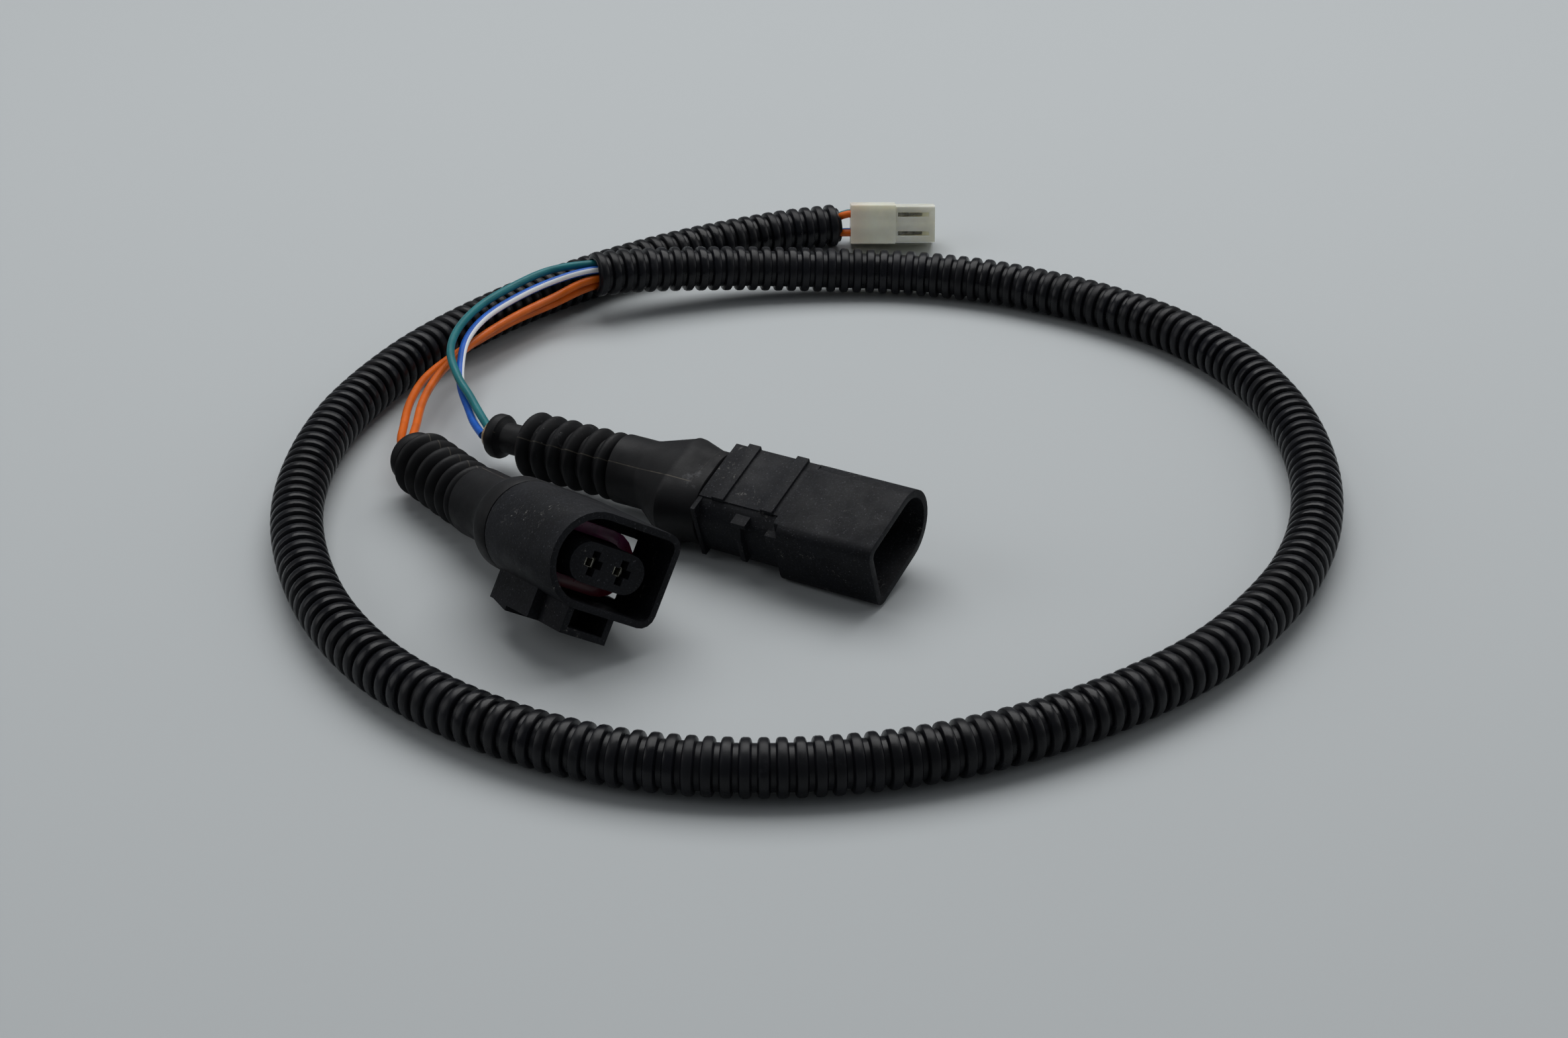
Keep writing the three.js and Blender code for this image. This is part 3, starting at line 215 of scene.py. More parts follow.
class HarnessColours(bpy.types.PropertyGroup):
    conduit: bpy.props.FloatVectorProperty(
        name="Conduit", description="Ribbed plastic", subtype="COLOR", size=3,
        default=(0.0035, 0.0038, 0.0055))
    boot: bpy.props.FloatVectorProperty(
        name="Boots", description="Moulded rubber", subtype="COLOR", size=3,
        default=(0.0030, 0.0032, 0.0042))
    housing: bpy.props.FloatVectorProperty(
        name="Housings", description="Black moulded plastic", subtype="COLOR", size=3,
        default=(0.0048, 0.0053, 0.0070))
    teal: bpy.props.FloatVectorProperty(
        name="Teal wire", description="Teal insulation", subtype="COLOR", size=3,
        default=(0.012, 0.155, 0.175))
    blue: bpy.props.FloatVectorProperty(
        name="Blue wire", description="Insulation under the white stripe", subtype="COLOR",
        size=3, default=(0.008, 0.10, 0.46))
    orange: bpy.props.FloatVectorProperty(
        name="Orange wires", description="Orange insulation", subtype="COLOR", size=3,
        default=(0.60, 0.112, 0.004))
    seal: bpy.props.FloatVectorProperty(
        name="Seal", description="Purple silicone", subtype="COLOR", size=3,
        default=(0.15, 0.008, 0.075))
    white: bpy.props.FloatVectorProperty(
        name="White connector", description="Milky plastic", subtype="COLOR", size=3,
        default=(0.90, 0.88, 0.71))
    floor: bpy.props.FloatVectorProperty(
        name="Floor", description="Pale surface that the harness lies on", subtype="COLOR",
        size=3, default=(0.455, 0.480, 0.490))


def sizes():
    return bpy.context.scene.harness_sizes


def colours():
    return bpy.context.scene.harness_colours


# Routes

def lengths_along(line):
    """How far each point of a line lies along it."""
    return np.concatenate([[0], np.cumsum(np.linalg.norm(np.diff(line, axis=0), axis=1))])


def smooth_route(points, spacing=0.0004):
    """The points of a centripetal curve through a route, evenly spaced, as an array."""
    knots = np.array(points, float)
    knots = np.vstack([2 * knots[0] - knots[1], knots, 2 * knots[-1] - knots[-2]])
    dense = []
    for index in range(1, len(knots) - 2):
        p0, p1, p2, p3 = knots[index - 1:index + 3]
        t0 = max(np.linalg.norm(p1 - p0), 1e-9) ** 0.5
        t1 = max(np.linalg.norm(p2 - p1), 1e-9) ** 0.5
        t2 = max(np.linalg.norm(p3 - p2), 1e-9) ** 0.5
        m1 = ((p1 - p0) / t0 - (p2 - p0) / (t0 + t1) + (p2 - p1) / t1) * t1
        m2 = ((p2 - p1) / t1 - (p3 - p1) / (t1 + t2) + (p3 - p2) / t2) * t1
        for share in np.linspace(0, 1, CURVE_STEPS, endpoint=False):
            square, cube = share ** 2, share ** 3
            dense.append(
                (2 * cube - 3 * square + 1) * p1 + (cube - 2 * square + share) * m1
                + (3 * square - 2 * cube) * p2 + (cube - square) * m2)
    dense.append(knots[-2])
    dense = np.array(dense)
    along = lengths_along(dense)
    stations = np.linspace(0, along[-1], max(int(along[-1] / spacing), 8))
    return np.column_stack([np.interp(stations, along, dense[:, axis]) for axis in range(3)])


def route_length(line):
    return float(np.linalg.norm(np.diff(line, axis=0), axis=1).sum())


def lay_along(mesh, line):
    """Bends a straight tube that runs along X on to a line, its Z side kept upwards."""
    along = lengths_along(line)
    tangent = np.gradient(line, axis=0)
    tangent /= np.linalg.norm(tangent, axis=1)[:, None]
    side = np.cross([0.0, 0.0, 1.0], tangent)
    side /= np.linalg.norm(side, axis=1)[:, None]
    up = np.cross(tangent, side)
    place = np.array([vertex.co for vertex in mesh.verts])

    def at(values):
        return np.column_stack(
            [np.interp(place[:, 0], along, values[:, axis]) for axis in range(3)])

    beyond = place[:, 0] - np.clip(place[:, 0], 0, along[-1])
    moved = (at(line) + at(side) * place[:, 1:2] + at(up) * place[:, 2:3]
             + at(tangent) * beyond[:, None])
    for vertex, where in zip(mesh.verts, moved):
        vertex.co = where


# Meshes

def turned(profile, sides, closed=True):
    """A bmesh spun round the X axis from a profile of (station, radius) points."""
    mesh = bmesh.new()
    corners = [mesh.verts.new((station, 0, radius)) for station, radius in profile]
    pairs = list(zip(corners, corners[1:]))
    if closed:
        pairs.append((corners[-1], corners[0]))
    edges = [mesh.edges.new(pair) for pair in pairs]
    bmesh.ops.spin(
        mesh, geom=corners + edges, cent=(0, 0, 0), axis=(1, 0, 0), dvec=(0, 0, 0),
        angle=2 * math.pi, steps=sides, use_merge=True, use_duplicate=False)
    bmesh.ops.remove_doubles(mesh, verts=mesh.verts, dist=TURNED_MERGE)
    bmesh.ops.recalc_face_normals(mesh, faces=mesh.faces)
    return mesh


def cap_ends(mesh, stations):
    """Closes an open turned piece at the stations where it begins and ends."""
    for station in stations:
        rim = [edge for edge in mesh.edges if edge.is_boundary
               and math.isclose(edge.verts[0].co.x, station, rel_tol=1e-5, abs_tol=1e-6)]
        bmesh.ops.contextual_create(mesh, geom=rim)


def remember_place(mesh):
    """Keeps each vertex's place on the straight piece, for patterns that follow the piece."""
    layer = mesh.verts.layers.float_vector.new("unbent")
    for vertex in mesh.verts:
        vertex[layer] = vertex.co / MM


def finished(mesh, name, material):
    """A scene object from a bmesh, riding on the harness, with its finish."""
    data = bpy.data.meshes.new(name)
    mesh.to_mesh(data)
    mesh.free()
    piece = bpy.data.objects.new(name, data)
    bpy.context.scene.collection.objects.link(piece)
    data.materials.append(material)
    data.shade_smooth()
    data.set_sharp_from_angle(angle=math.radians(SHARP_EDGE))
    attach(piece, "root")
    return piece


def rounded_copy(node, name, material, radius, segments):
    """A copy of a CAD node with its faces joined and its edges rounded, shown in its place."""
    mesh = bmesh.new()
    mesh.from_mesh(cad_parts[node].data)
    bmesh.ops.remove_doubles(mesh, verts=mesh.verts, dist=CAD_MERGE)
    bmesh.ops.dissolve_degenerate(mesh, dist=CAD_MERGE, edges=mesh.edges)
    bmesh.ops.dissolve_limit(
        mesh, angle_limit=math.radians(1), verts=mesh.verts, edges=mesh.edges,
        use_dissolve_boundaries=False)
    edges = [
        edge for edge in mesh.edges
        if len(edge.link_faces) == 2 and edge.calc_face_angle(0) > math.radians(ROUNDED_EDGE)
    ]
    bmesh.ops.bevel(
        mesh, geom=edges, offset=radius, offset_type="OFFSET", segments=segments, profile=0.5,
        affect="EDGES", clamp_overlap=True, material=-1, loop_slide=True)
    bmesh.ops.triangulate(mesh, faces=[face for face in mesh.faces if len(face.verts) > 4])
    piece = finished(mesh, name, material)
    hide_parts(node)


def seat_axes(place):
    """The point and the three axes of a connector: X and Y across it, Z towards its mating end."""
    at, heading, raised, roll = place
    heading, raised, roll = (math.radians(value) for value in (heading, raised, roll))
    forward = Vector((
        math.cos(raised) * math.cos(heading), math.cos(raised) * math.sin(heading),
        math.sin(raised)))
    across = Vector((0, 0, 1)).cross(forward).normalized()
    upward = forward.cross(across)
    x = across * math.cos(roll) + upward * math.sin(roll)
    y = upward * math.cos(roll) - across * math.sin(roll)
    return Vector(at), x, y, forward


def seated(mesh, place):
    """Moves a bmesh in a connector's own millimetres to its seat in metres."""
    at, x, y, z = seat_axes(place)
    matrix = Matrix.Translation(at) @ Matrix((x, y, z)).transposed().to_4x4()
    mesh.transform(Matrix.Scale(MM, 4) @ matrix)


# Finishes

class Tree:
    """One material's node tree, with short ways to add what the finishes share."""

    def __init__(self, name):
        self.material = bpy.data.materials.new(name)
        self.material.use_nodes = True
        self.nodes = self.material.node_tree.nodes
        self.links = self.material.node_tree.links
        self.nodes.clear()
        output = self.nodes.new("ShaderNodeOutputMaterial")
        self.shader = self.nodes.new("ShaderNodeBsdfPrincipled")
        self.links.new(self.shader.outputs["BSDF"], output.inputs["Surface"])
        self.place = self.nodes.new("ShaderNodeTexCoord").outputs["Object"]

    def attribute(self, name, output):
        node = self.nodes.new("ShaderNodeAttribute")
        node.attribute_name = name
        return node.outputs[output]

    def parts(self, vector):
        """The outputs X, Y and Z of a vector."""
        node = self.nodes.new("ShaderNodeSeparateXYZ")
        self.links.new(vector, node.inputs["Vector"])
        return node.outputs

    def noise(self, scale, detail, roughness=0.55):
        node = self.nodes.new("ShaderNodeTexNoise")
        node.inputs["Scale"].default_value = scale
        node.inputs["Detail"].default_value = detail
        node.inputs["Roughness"].default_value = roughness
        self.links.new(self.place, node.inputs["Vector"])
        return node.outputs["Fac"]

    def ranged(self, value, span, to=(0, 1)):
        """A value spread smoothly from one span over another, and held at both ends."""
        node = self.nodes.new("ShaderNodeMapRange")
        node.interpolation_type = "SMOOTHSTEP"
        node.clamp = True
        names = ("From Min", "From Max", "To Min", "To Max")
        for name, number in zip(names, (*span, *to)):
            node.inputs[name].default_value = number
        self.links.new(value, node.inputs["Value"])
        return node.outputs["Result"]

    def cloud(self, scale, detail, span, to=(0, 1), roughness=0.55):
        """Noise spread smoothly from one span of its values over another."""
        return self.ranged(self.noise(scale, detail, roughness), span, to)

    def maths(self, operation, first, second):
        node = self.nodes.new("ShaderNodeMath")
        node.operation = operation
        for socket, value in zip(node.inputs, (first, second)):
            if isinstance(value, (int, float)):
                socket.default_value = value
            else:
                self.links.new(value, socket)
        return node.outputs["Value"]

    def mixed(self, share, first, second):
        node = self.nodes.new("ShaderNodeMix")
        node.data_type = "RGBA"
        self.links.new(share, node.inputs["Factor"])
        for name, value in (("A", first), ("B", second)):
            socket = next(item for item in node.inputs if item.name == name and item.type == "RGBA")
            if isinstance(value, tuple):
                socket.default_value = (*value, 1.0)
            else:
                self.links.new(value, socket)
        return next(item for item in node.outputs if item.type == "RGBA")

    def bump(self, heights):
        """Bumps from a list of (height, depth in metres, strength), one after another."""
        normal = None
        for height, depth, strength in heights:
            node = self.nodes.new("ShaderNodeBump")
            node.inputs["Distance"].default_value = depth
            node.inputs["Strength"].default_value = strength
            self.links.new(height, node.inputs["Height"])
            if normal is not None:
                self.links.new(normal, node.inputs["Normal"])
            normal = node.outputs["Normal"]
        self.links.new(normal, self.shader.inputs["Normal"])

    def set(self, **values):
        for name, value in values.items():
            socket = self.shader.inputs[name.replace("_", " ")]
            if isinstance(value, bpy.types.NodeSocket):
                self.links.new(value, socket)
            elif isinstance(value, tuple) and socket.type == "RGBA":
                socket.default_value = (*value, 1.0)
            else:
                socket.default_value = value


def scaled(colour, factor):
    """A colour made darker or lighter by a factor."""
    return tuple(min(channel * factor, 1.0) for channel in colour)


def conduit_finish():
    colour = tuple(colours().conduit)
    tree = Tree("Ribbed conduit")
    tone = tree.cloud(scale=90, detail=4, span=(0.35, 0.7))
    plain = tree.mixed(tone, scaled(colour, 0.75), scaled(colour, 1.5))
    # Painted bluish glints, mixed with random lighter mottling, in small patches over the conduit
    glint_and_mottle = tree.cloud(scale=420, detail=5, span=(0.55, 0.78), to=(0, 0.35), roughness=0.65)
    tree.set(Base_Color=tree.mixed(glint_and_mottle, plain, CONDUIT_GLINT_AND_MOTTLE))
    tree.set(Roughness=tree.cloud(160, 5, span=(0.3, 0.75), to=(0.24, 0.5), roughness=0.6))
    tree.set(Specular_IOR_Level=0.22)
    waves = tree.noise(scale=330, detail=2)
    grain = tree.noise(scale=1500, detail=4, roughness=0.6)
    tree.bump([(waves, 0.00012, 0.5), (grain, 0.00002, 0.5)])
    return tree.material


def bore_finish():
    tree = Tree("Conduit bore")
    tone = tree.cloud(scale=300, detail=3, span=(0.3, 0.7))
    tree.set(Base_Color=tree.mixed(tone, *BORE_TONES), Roughness=0.6)
    return tree.material


def insulation_finish(name, colour, striped=False):
    tree = Tree(name)
    tone = tree.cloud(scale=240, detail=3, span=(0.3, 0.7))
    paint = tree.mixed(tone, scaled(colour, 0.86), scaled(colour, 1.12))
    if striped:
        place = tree.parts(tree.attribute("unbent", "Vector"))
        stripe = tree.maths(
            "MULTIPLY", tree.ranged(place["Z"], STRIPE_Z), tree.ranged(place["Y"], STRIPE_Y))
        paint = tree.mixed(stripe, paint, STRIPE_WHITE)
    tree.set(Base_Color=paint)
    tree.set(Roughness=tree.cloud(500, 4, span=(0.3, 0.7), to=(0.3, 0.46)))
    tree.set(Specular_IOR_Level=0.25, Coat_Weight=0.06, Coat_Roughness=0.3)
    tree.bump([(tree.noise(scale=700, detail=3), 0.00002, 0.4)])
    return tree.material


def rubber_finish():
    colour = tuple(colours().boot)
    tree = Tree("Moulded rubber")
    tone = tree.cloud(scale=130, detail=4, span=(0.35, 0.7))
    body = tree.mixed(tone, scaled(colour, 0.8), scaled(colour, 1.35))
    patch = tree.cloud(scale=55, detail=2, span=(0.5, 0.64))
    dust = tree.cloud(scale=260, detail=7, span=(0.57, 0.74), to=(0, 0.65), roughness=0.7)
    dusty = tree.mixed(tree.maths("MULTIPLY", dust, patch), body, RUBBER_DUST)
    specks = tree.cloud(scale=2300, detail=2, span=(0.7, 0.76), to=(0, 0.7), roughness=0.5)
    speckled = tree.mixed(tree.maths("MULTIPLY", specks, patch), dusty, RUBBER_SPECKS)
    off_plane = tree.maths("ABSOLUTE", tree.attribute("parting", "Fac"), 0)
    line = tree.ranged(off_plane, span=(0.03, 0.13), to=(0.8, 0))
    breaks = tree.cloud(scale=500, detail=4, span=(0.3, 0.6), to=(0.25, 1))
    tree.set(Base_Color=tree.mixed(tree.maths("MULTIPLY", line, breaks), speckled, PARTING_TONE))
    tree.set(Roughness=tree.cloud(180, 5, span=(0.3, 0.75), to=(0.5, 0.72), roughness=0.6))
    tree.set(Specular_IOR_Level=0.22)
    waves = tree.noise(scale=600, detail=4, roughness=0.6)
    grain = tree.noise(scale=2600, detail=3)
    tree.bump([(waves, 0.00006, 0.5), (grain, 0.00002, 0.5)])
    return tree.material


def housing_finish():
    colour = tuple(colours().housing)
    tree = Tree("Black moulded plastic")
    tone = tree.cloud(scale=110, detail=4, span=(0.35, 0.7))
    paint = tree.mixed(tone, scaled(colour, 0.85), scaled(colour, 1.45))
    fine = tree.cloud(scale=2600, detail=3, span=(0.50, 0.72), to=(0, 0.55), roughness=0.6)
    specks = tree.cloud(scale=3000, detail=2, span=(0.66, 0.72), to=(0, 0.6), roughness=0.5)
    lint = tree.cloud(scale=900, detail=6, span=(0.70, 0.79), to=(0, 0.5), roughness=0.75)
    chips = tree.cloud(scale=1100, detail=8, span=(0.56, 0.66), to=(0, 0.85), roughness=0.8)
    worn = tree.cloud(scale=170, detail=3, span=(0.56, 0.63))
    for share, wear in (
        (fine, HOUSING_GRAIN), (specks, HOUSING_SPECKS), (lint, HOUSING_LINT),
        (tree.maths("MULTIPLY", chips, worn), HOUSING_CHIPS),
    ):
        paint = tree.mixed(share, paint, wear)
    tree.set(Base_Color=paint)
    tree.set(Roughness=tree.cloud(200, 5, span=(0.3, 0.75), to=(0.55, 0.72), roughness=0.6))
    tree.set(Specular_IOR_Level=0.17)
    waves = tree.noise(scale=900, detail=4, roughness=0.6)
    grain = tree.noise(scale=3400, detail=3)
    tree.bump([(waves, 0.00005, 0.45), (grain, 0.00003, 0.6)])
    return tree.material


def seal_finish():
    colour = tuple(colours().seal)
    tree = Tree("Purple silicone")
    tone = tree.cloud(scale=300, detail=3, span=(0.3, 0.7))
    purple = tree.mixed(tone, scaled(colour, 0.8), scaled(colour, 1.5))
    # Painted shade: the seal turns a darker red towards its bottom
    low = tree.ranged(tree.parts(tree.place)["Z"], span=(0.0105, 0.0150), to=(0.9, 0))
    tree.set(Base_Color=tree.mixed(low, purple, SEAL_SHADE_RED))
    tree.set(Roughness=tree.cloud(500, 3, span=(0.3, 0.7), to=(0.25, 0.4)))
    tree.set(Subsurface_Weight=0.25, Subsurface_Scale=0.001, Coat_Weight=0.2)
    tree.bump([(tree.noise(scale=500, detail=3), 0.00004, 0.5)])
    return tree.material


def sealant_finish():
    tree = Tree("Brown sealant")
    tone = tree.cloud(scale=420, detail=4, span=(0.35, 0.68))
    tree.set(Base_Color=tree.mixed(tone, *SEALANT_TONES))
    tree.set(Roughness=tree.cloud(700, 3, span=(0.3, 0.7), to=(0.15, 0.35)))
    tree.set(Subsurface_Weight=0.3, Subsurface_Scale=0.0015, Coat_Weight=0.4)
    tree.bump([(tree.noise(scale=450, detail=4), 0.00025, 0.7)])
    return tree.material


def milky_finish():
    colour = tuple(colours().white)
    tree = Tree("Milky plastic")
    tone = tree.cloud(scale=140, detail=4, span=(0.3, 0.7))
    body = tree.mixed(tone, scaled(colour, 0.9), scaled(colour, 1.1))
    place = tree.parts(tree.place)
    rear = tree.ranged(place["X"], span=(0.0325, 0.0375), to=(0.5, 0))
    blushed = tree.mixed(rear, body, WHITE_BLUSH)
    # Painted shade: the milky body turns yellowish towards its bottom
    low = tree.ranged(place["Z"], span=(0.0005, 0.0035), to=(0.45, 0))
    tree.set(Base_Color=tree.mixed(low, blushed, WHITE_SHADE_YELLOW))
    tree.set(Roughness=tree.cloud(260, 4, span=(0.3, 0.7), to=(0.28, 0.45)))
    tree.set(Subsurface_Weight=0.55, Subsurface_Scale=0.003, Transmission_Weight=0.22)
    tree.set(Subsurface_Radius=(1.0, 0.85, 0.6))
    tree.bump([(tree.noise(scale=500, detail=3), 0.00006, 0.4)])
    return tree.material


def tin_finish():
    tree = Tree("Tinned metal")
    tone = tree.cloud(scale=800, detail=4, span=(0.3, 0.7))
    tree.set(Base_Color=tree.mixed(tone, *TIN_TONES), Metallic=1.0)
    tree.set(Roughness=tree.cloud(1100, 4, span=(0.3, 0.7), to=(0.2, 0.42)))
    tree.bump([(tree.noise(scale=1800, detail=3), 0.00003, 0.5)])
    return tree.material


# Conduit and wires

def rib_profile(length, pitch, crest, depth):
    """The conduit's outer profile of (station, radius) from end to end, one rib after another."""
    valley = crest - depth
    # One groove and one rib, as shares of the pitch and radii
    shape = (
        (0.0, valley), (0.22, valley), (0.26, valley + 0.55 * depth), (0.33, crest - 0.13 * depth),
        (0.44, crest), (0.72, crest), (0.83, crest - 0.13 * depth), (0.90, valley + 0.55 * depth),
        (0.94, valley),
    )
    count = int(length / pitch)
    step = length / count
    points = []
    for rib in range(count):
        points.extend(((rib + share) * step, radius) for share, radius in shape)
    points.append((length, valley))
    return points


class HARNESS_OT_conduit(bpy.types.Operator):
    """Makes the ribbed conduit, hollow, with both its ends open"""
    bl_idname = "harness.conduit"
    bl_label = "Conduit"

    def execute(self, context):
        size = sizes()
        line = smooth_route(CONDUIT_ROUTE)[::-1]
        length = route_length(line)
        outside = rib_profile(length, size.rib_pitch, size.conduit_diameter / 2, size.rib_depth)
        bore = size.conduit_bore / 2
        inside = [(share * length, bore) for share in np.linspace(1, 0, int(length / BORE_STEP))]
        mesh = turned(outside + inside, CONDUIT_SIDES)
        remember_place(mesh)
        lay_along(mesh, line)
        piece = finished(mesh, "conduit", conduit_finish())
        piece.data.materials.append(bore_finish())
        place = piece.data.attributes["unbent"].data
        bore_reach = bore / MM + 0.05  # faces within it, in millimetres, line the bore
        for face in piece.data.polygons:
            reach = [math.hypot(*place[index].vector[1:]) for index in face.vertices]
            if max(reach) < bore_reach:
                face.material_index = 1
        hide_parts("corrugated_conduit")
        return {"FINISHED"}


def wire(name, route, finish, node):
    """One stretch of wire along a route, closed at both ends."""
    size = sizes()
    line = smooth_route(route, spacing=0.0003)
    length = route_length(line)
    radius = size.wire_diameter / 2
    stations = np.linspace(0, length, max(int(length / WIRE_STEP), 12))
    mesh = turned([(station, radius) for station in stations], WIRE_SIDES, closed=False)
    cap_ends(mesh, (stations[0], stations[-1]))
    bmesh.ops.recalc_face_normals(mesh, faces=mesh.faces)
    remember_place(mesh)
    lay_along(mesh, line)
    piece = finished(mesh, name, finish)
    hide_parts(node)


def rear_route(index):
    """A wire's way from its cell in the white connector into the conduit's end."""
    at, x, y, z = seat_axes(WHITE_PLACE)
    column, row = WHITE_CELLS[index]
    offset = (x * column + y * row) * WHITE_PITCH / 2 * MM
    line = smooth_route(CONDUIT_ROUTE)[::-1]
    along = lengths_along(line)
    start = at * MM + offset
    points = [start + z * (WHITE_INSERTION * MM), start - z * REAR_STRAIGHT]
    for station, share in REAR_SPREAD:
        middle = Vector([np.interp(station, along, line[:, axis]) for axis in range(3)])
        points.append(middle + offset * share)
    return [tuple(point) for point in points]


class HARNESS_OT_wires(bpy.types.Operator):
    """Makes the four wires, at the conduit's open end and at the white connector"""
    bl_idname = "harness.wires"
    bl_label = "Wires"

    def execute(self, context):
        tint = colours()
        teal = insulation_finish("Teal insulation", tuple(tint.teal))
        orange = insulation_finish("Orange insulation", tuple(tint.orange))
        blue = insulation_finish("Blue insulation", tuple(tint.blue), striped=True)
        for name, route, finish, slot, node in (
            ("teal_lead", TEAL_ROUTE, teal, "teal_insulation", "teal_wire"),
            ("blue_lead", BLUE_ROUTE, blue, "blue_insulation", "blue_striped_wire"),
            ("orange_lead_1", ORANGE_1_ROUTE, orange, "orange_insulation", "orange_wire_1"),
            ("orange_lead_2", ORANGE_2_ROUTE, orange, "orange_insulation", "orange_wire_2"),
            ("rear_orange_lead_1", rear_route(0), orange, "orange_insulation",
             "rear_orange_wire_1"),
            ("rear_orange_lead_2", rear_route(1), orange, "orange_insulation",
             "rear_orange_wire_2"),
            ("rear_teal_lead", rear_route(2), teal, "teal_insulation", "rear_teal_wire"),
            ("rear_blue_lead", rear_route(3), blue, "blue_insulation", "rear_blue_striped_wire"),
        ):
            wire(name, route, finish, node)
        return {"FINISHED"}


# Boots

def edge_arcs(corners):
    """The points of an edge made of arcs, each with its middle, radius, first and last angle."""
    points = []
    for x, y, radius, start, end in corners:
        for angle in np.arange(start, end + 0.1, ARC_STEP):
            turn = math.radians(angle)
            points.append((x + radius * math.cos(turn), y + radius * math.sin(turn)))
    return points


def d_outline(width, height, corner):
    """A D's edge points: its -X side a half round, the other square with rounded corners."""
    half = height / 2
    x = width / 2 - corner
    return edge_arcs((
        (x, -half + corner, corner, -90, 0), (x, half - corner, corner, 0, 90),
        (half - width / 2, 0, half, 90, 270)))


def rounded_outline(width, height, radius, shift):
    """A rounded rectangle's edge points, moved along X."""
    x, y = width / 2 - radius, height / 2 - radius
    corners = ((x, -y, radius, -90, 0), (x, y, radius, 0, 90),
               (-x, y, radius, 90, 180), (-x, -y, radius, 180, 270))
    return [(px + shift, py) for px, py in edge_arcs(corners)]


def reach_of(outline, angle):
    """How far an outline's edge lies from its middle, in one direction."""
    x, y = math.cos(angle), math.sin(angle)
    start = np.array(outline)
    edge = np.roll(start, -1, axis=0) - start
    cross = x * edge[:, 1] - y * edge[:, 0]
    cross[np.abs(cross) < 1e-9] = 1e-9  # an edge that runs the same way is met nowhere
    along = (start[:, 0] * edge[:, 1] - start[:, 1] * edge[:, 0]) / cross
    share = (start[:, 0] * y - start[:, 1] * x) / cross
    hits = along[(along > 0) & (share > -1e-6) & (share < 1 + 1e-6)]
    return float(hits.max())


def corrugations(start, radius, pitch):
    """Profile points of a boot's six rings, as (station, radius) in millimetres."""
    depth, width, steps = 1.5, 0.82 * pitch, 10
    valley = radius - depth
    points = []
    for ring in range(6):
        base = start + ring * pitch
        points.append((base, valley))
        for step in range(1, steps):
            rise = math.sin(math.pi * step / steps) ** 0.8
            points.append((base + width * step / steps, valley + depth * rise))
        points.append((base + width, valley))
    return points


def bent(vertex, bend):
    """Moves a point of a boot's tail as the tail turns off its axis."""
    start, length, angle, side = bend
    behind = start - vertex.z
    if behind <= 0:
        return
    towards = math.radians(side)
    radius = length / math.radians(angle)
    turned_by = min(behind, length) / radius
    beyond = max(behind - length, 0)
    sx, sy = math.cos(towards), math.sin(towards)
    inward = vertex.x * sx + vertex.y * sy
    shift = radius * (1 - math.cos(turned_by)) + beyond * math.sin(turned_by)
    lateral = shift + inward * math.cos(turned_by) - inward
    vertex.x += sx * lateral
    vertex.y += sy * lateral
    vertex.z = (start - radius * math.sin(turned_by) - beyond * math.cos(turned_by)
                + inward * math.sin(turned_by))


def eased(stations, values, station):
    """A value at one station, eased from each form's to the next and held beyond both ends."""
    after = min(max(int(np.searchsorted(stations, station, side="right")), 1), len(stations) - 1)
    first, last = stations[after - 1], stations[after]
    share = min(max((station - first) / (last - first), 0), 1)
    share = share * share * (3 - 2 * share)
    return values[after - 1] * (1 - share) + values[after] * share


def moulded_boot(profile, forms, bend, seam):
    """A boot spun from its profile, its section changed from form to form and its tail bent.

    A form is a station, the radius that the profile has there, and the outline that this radius
    becomes, or None for a round section.
    """
    mesh = turned(profile, BOOT_SIDES)
    parting = mesh.verts.layers.float.new("parting")
    plane, seam_start, seam_end = seam
    stations = [station for station, _, _ in forms]
    reaches = {}
    for vertex in mesh.verts:
        station, y, z = vertex.co
        angle = math.atan2(y, z)
        radius = math.hypot(y, z)
        key = round(angle, 4)
        if key not in reaches:
            reaches[key] = [
                reach_of(outline, angle) / reach if outline else 1.0
                for _, reach, outline in forms]
        scale = eased(stations, reaches[key], station)
        off = radius * scale * math.sin(angle - math.radians(plane))
        on_seam = seam_start < station < seam_end and radius > SEAM_INNER_RADIUS
        vertex[parting] = off if on_seam else NO_SEAM
        if on_seam and abs(off) < SEAM_WIDTH:
            radius += SEAM_HEIGHT * (1 - abs(off) / SEAM_WIDTH)
        vertex.co = (math.cos(angle) * radius * scale, math.sin(angle) * radius * scale, station)
        bent(vertex.co, bend)
    bmesh.ops.recalc_face_normals(mesh, faces=mesh.faces)
    return mesh


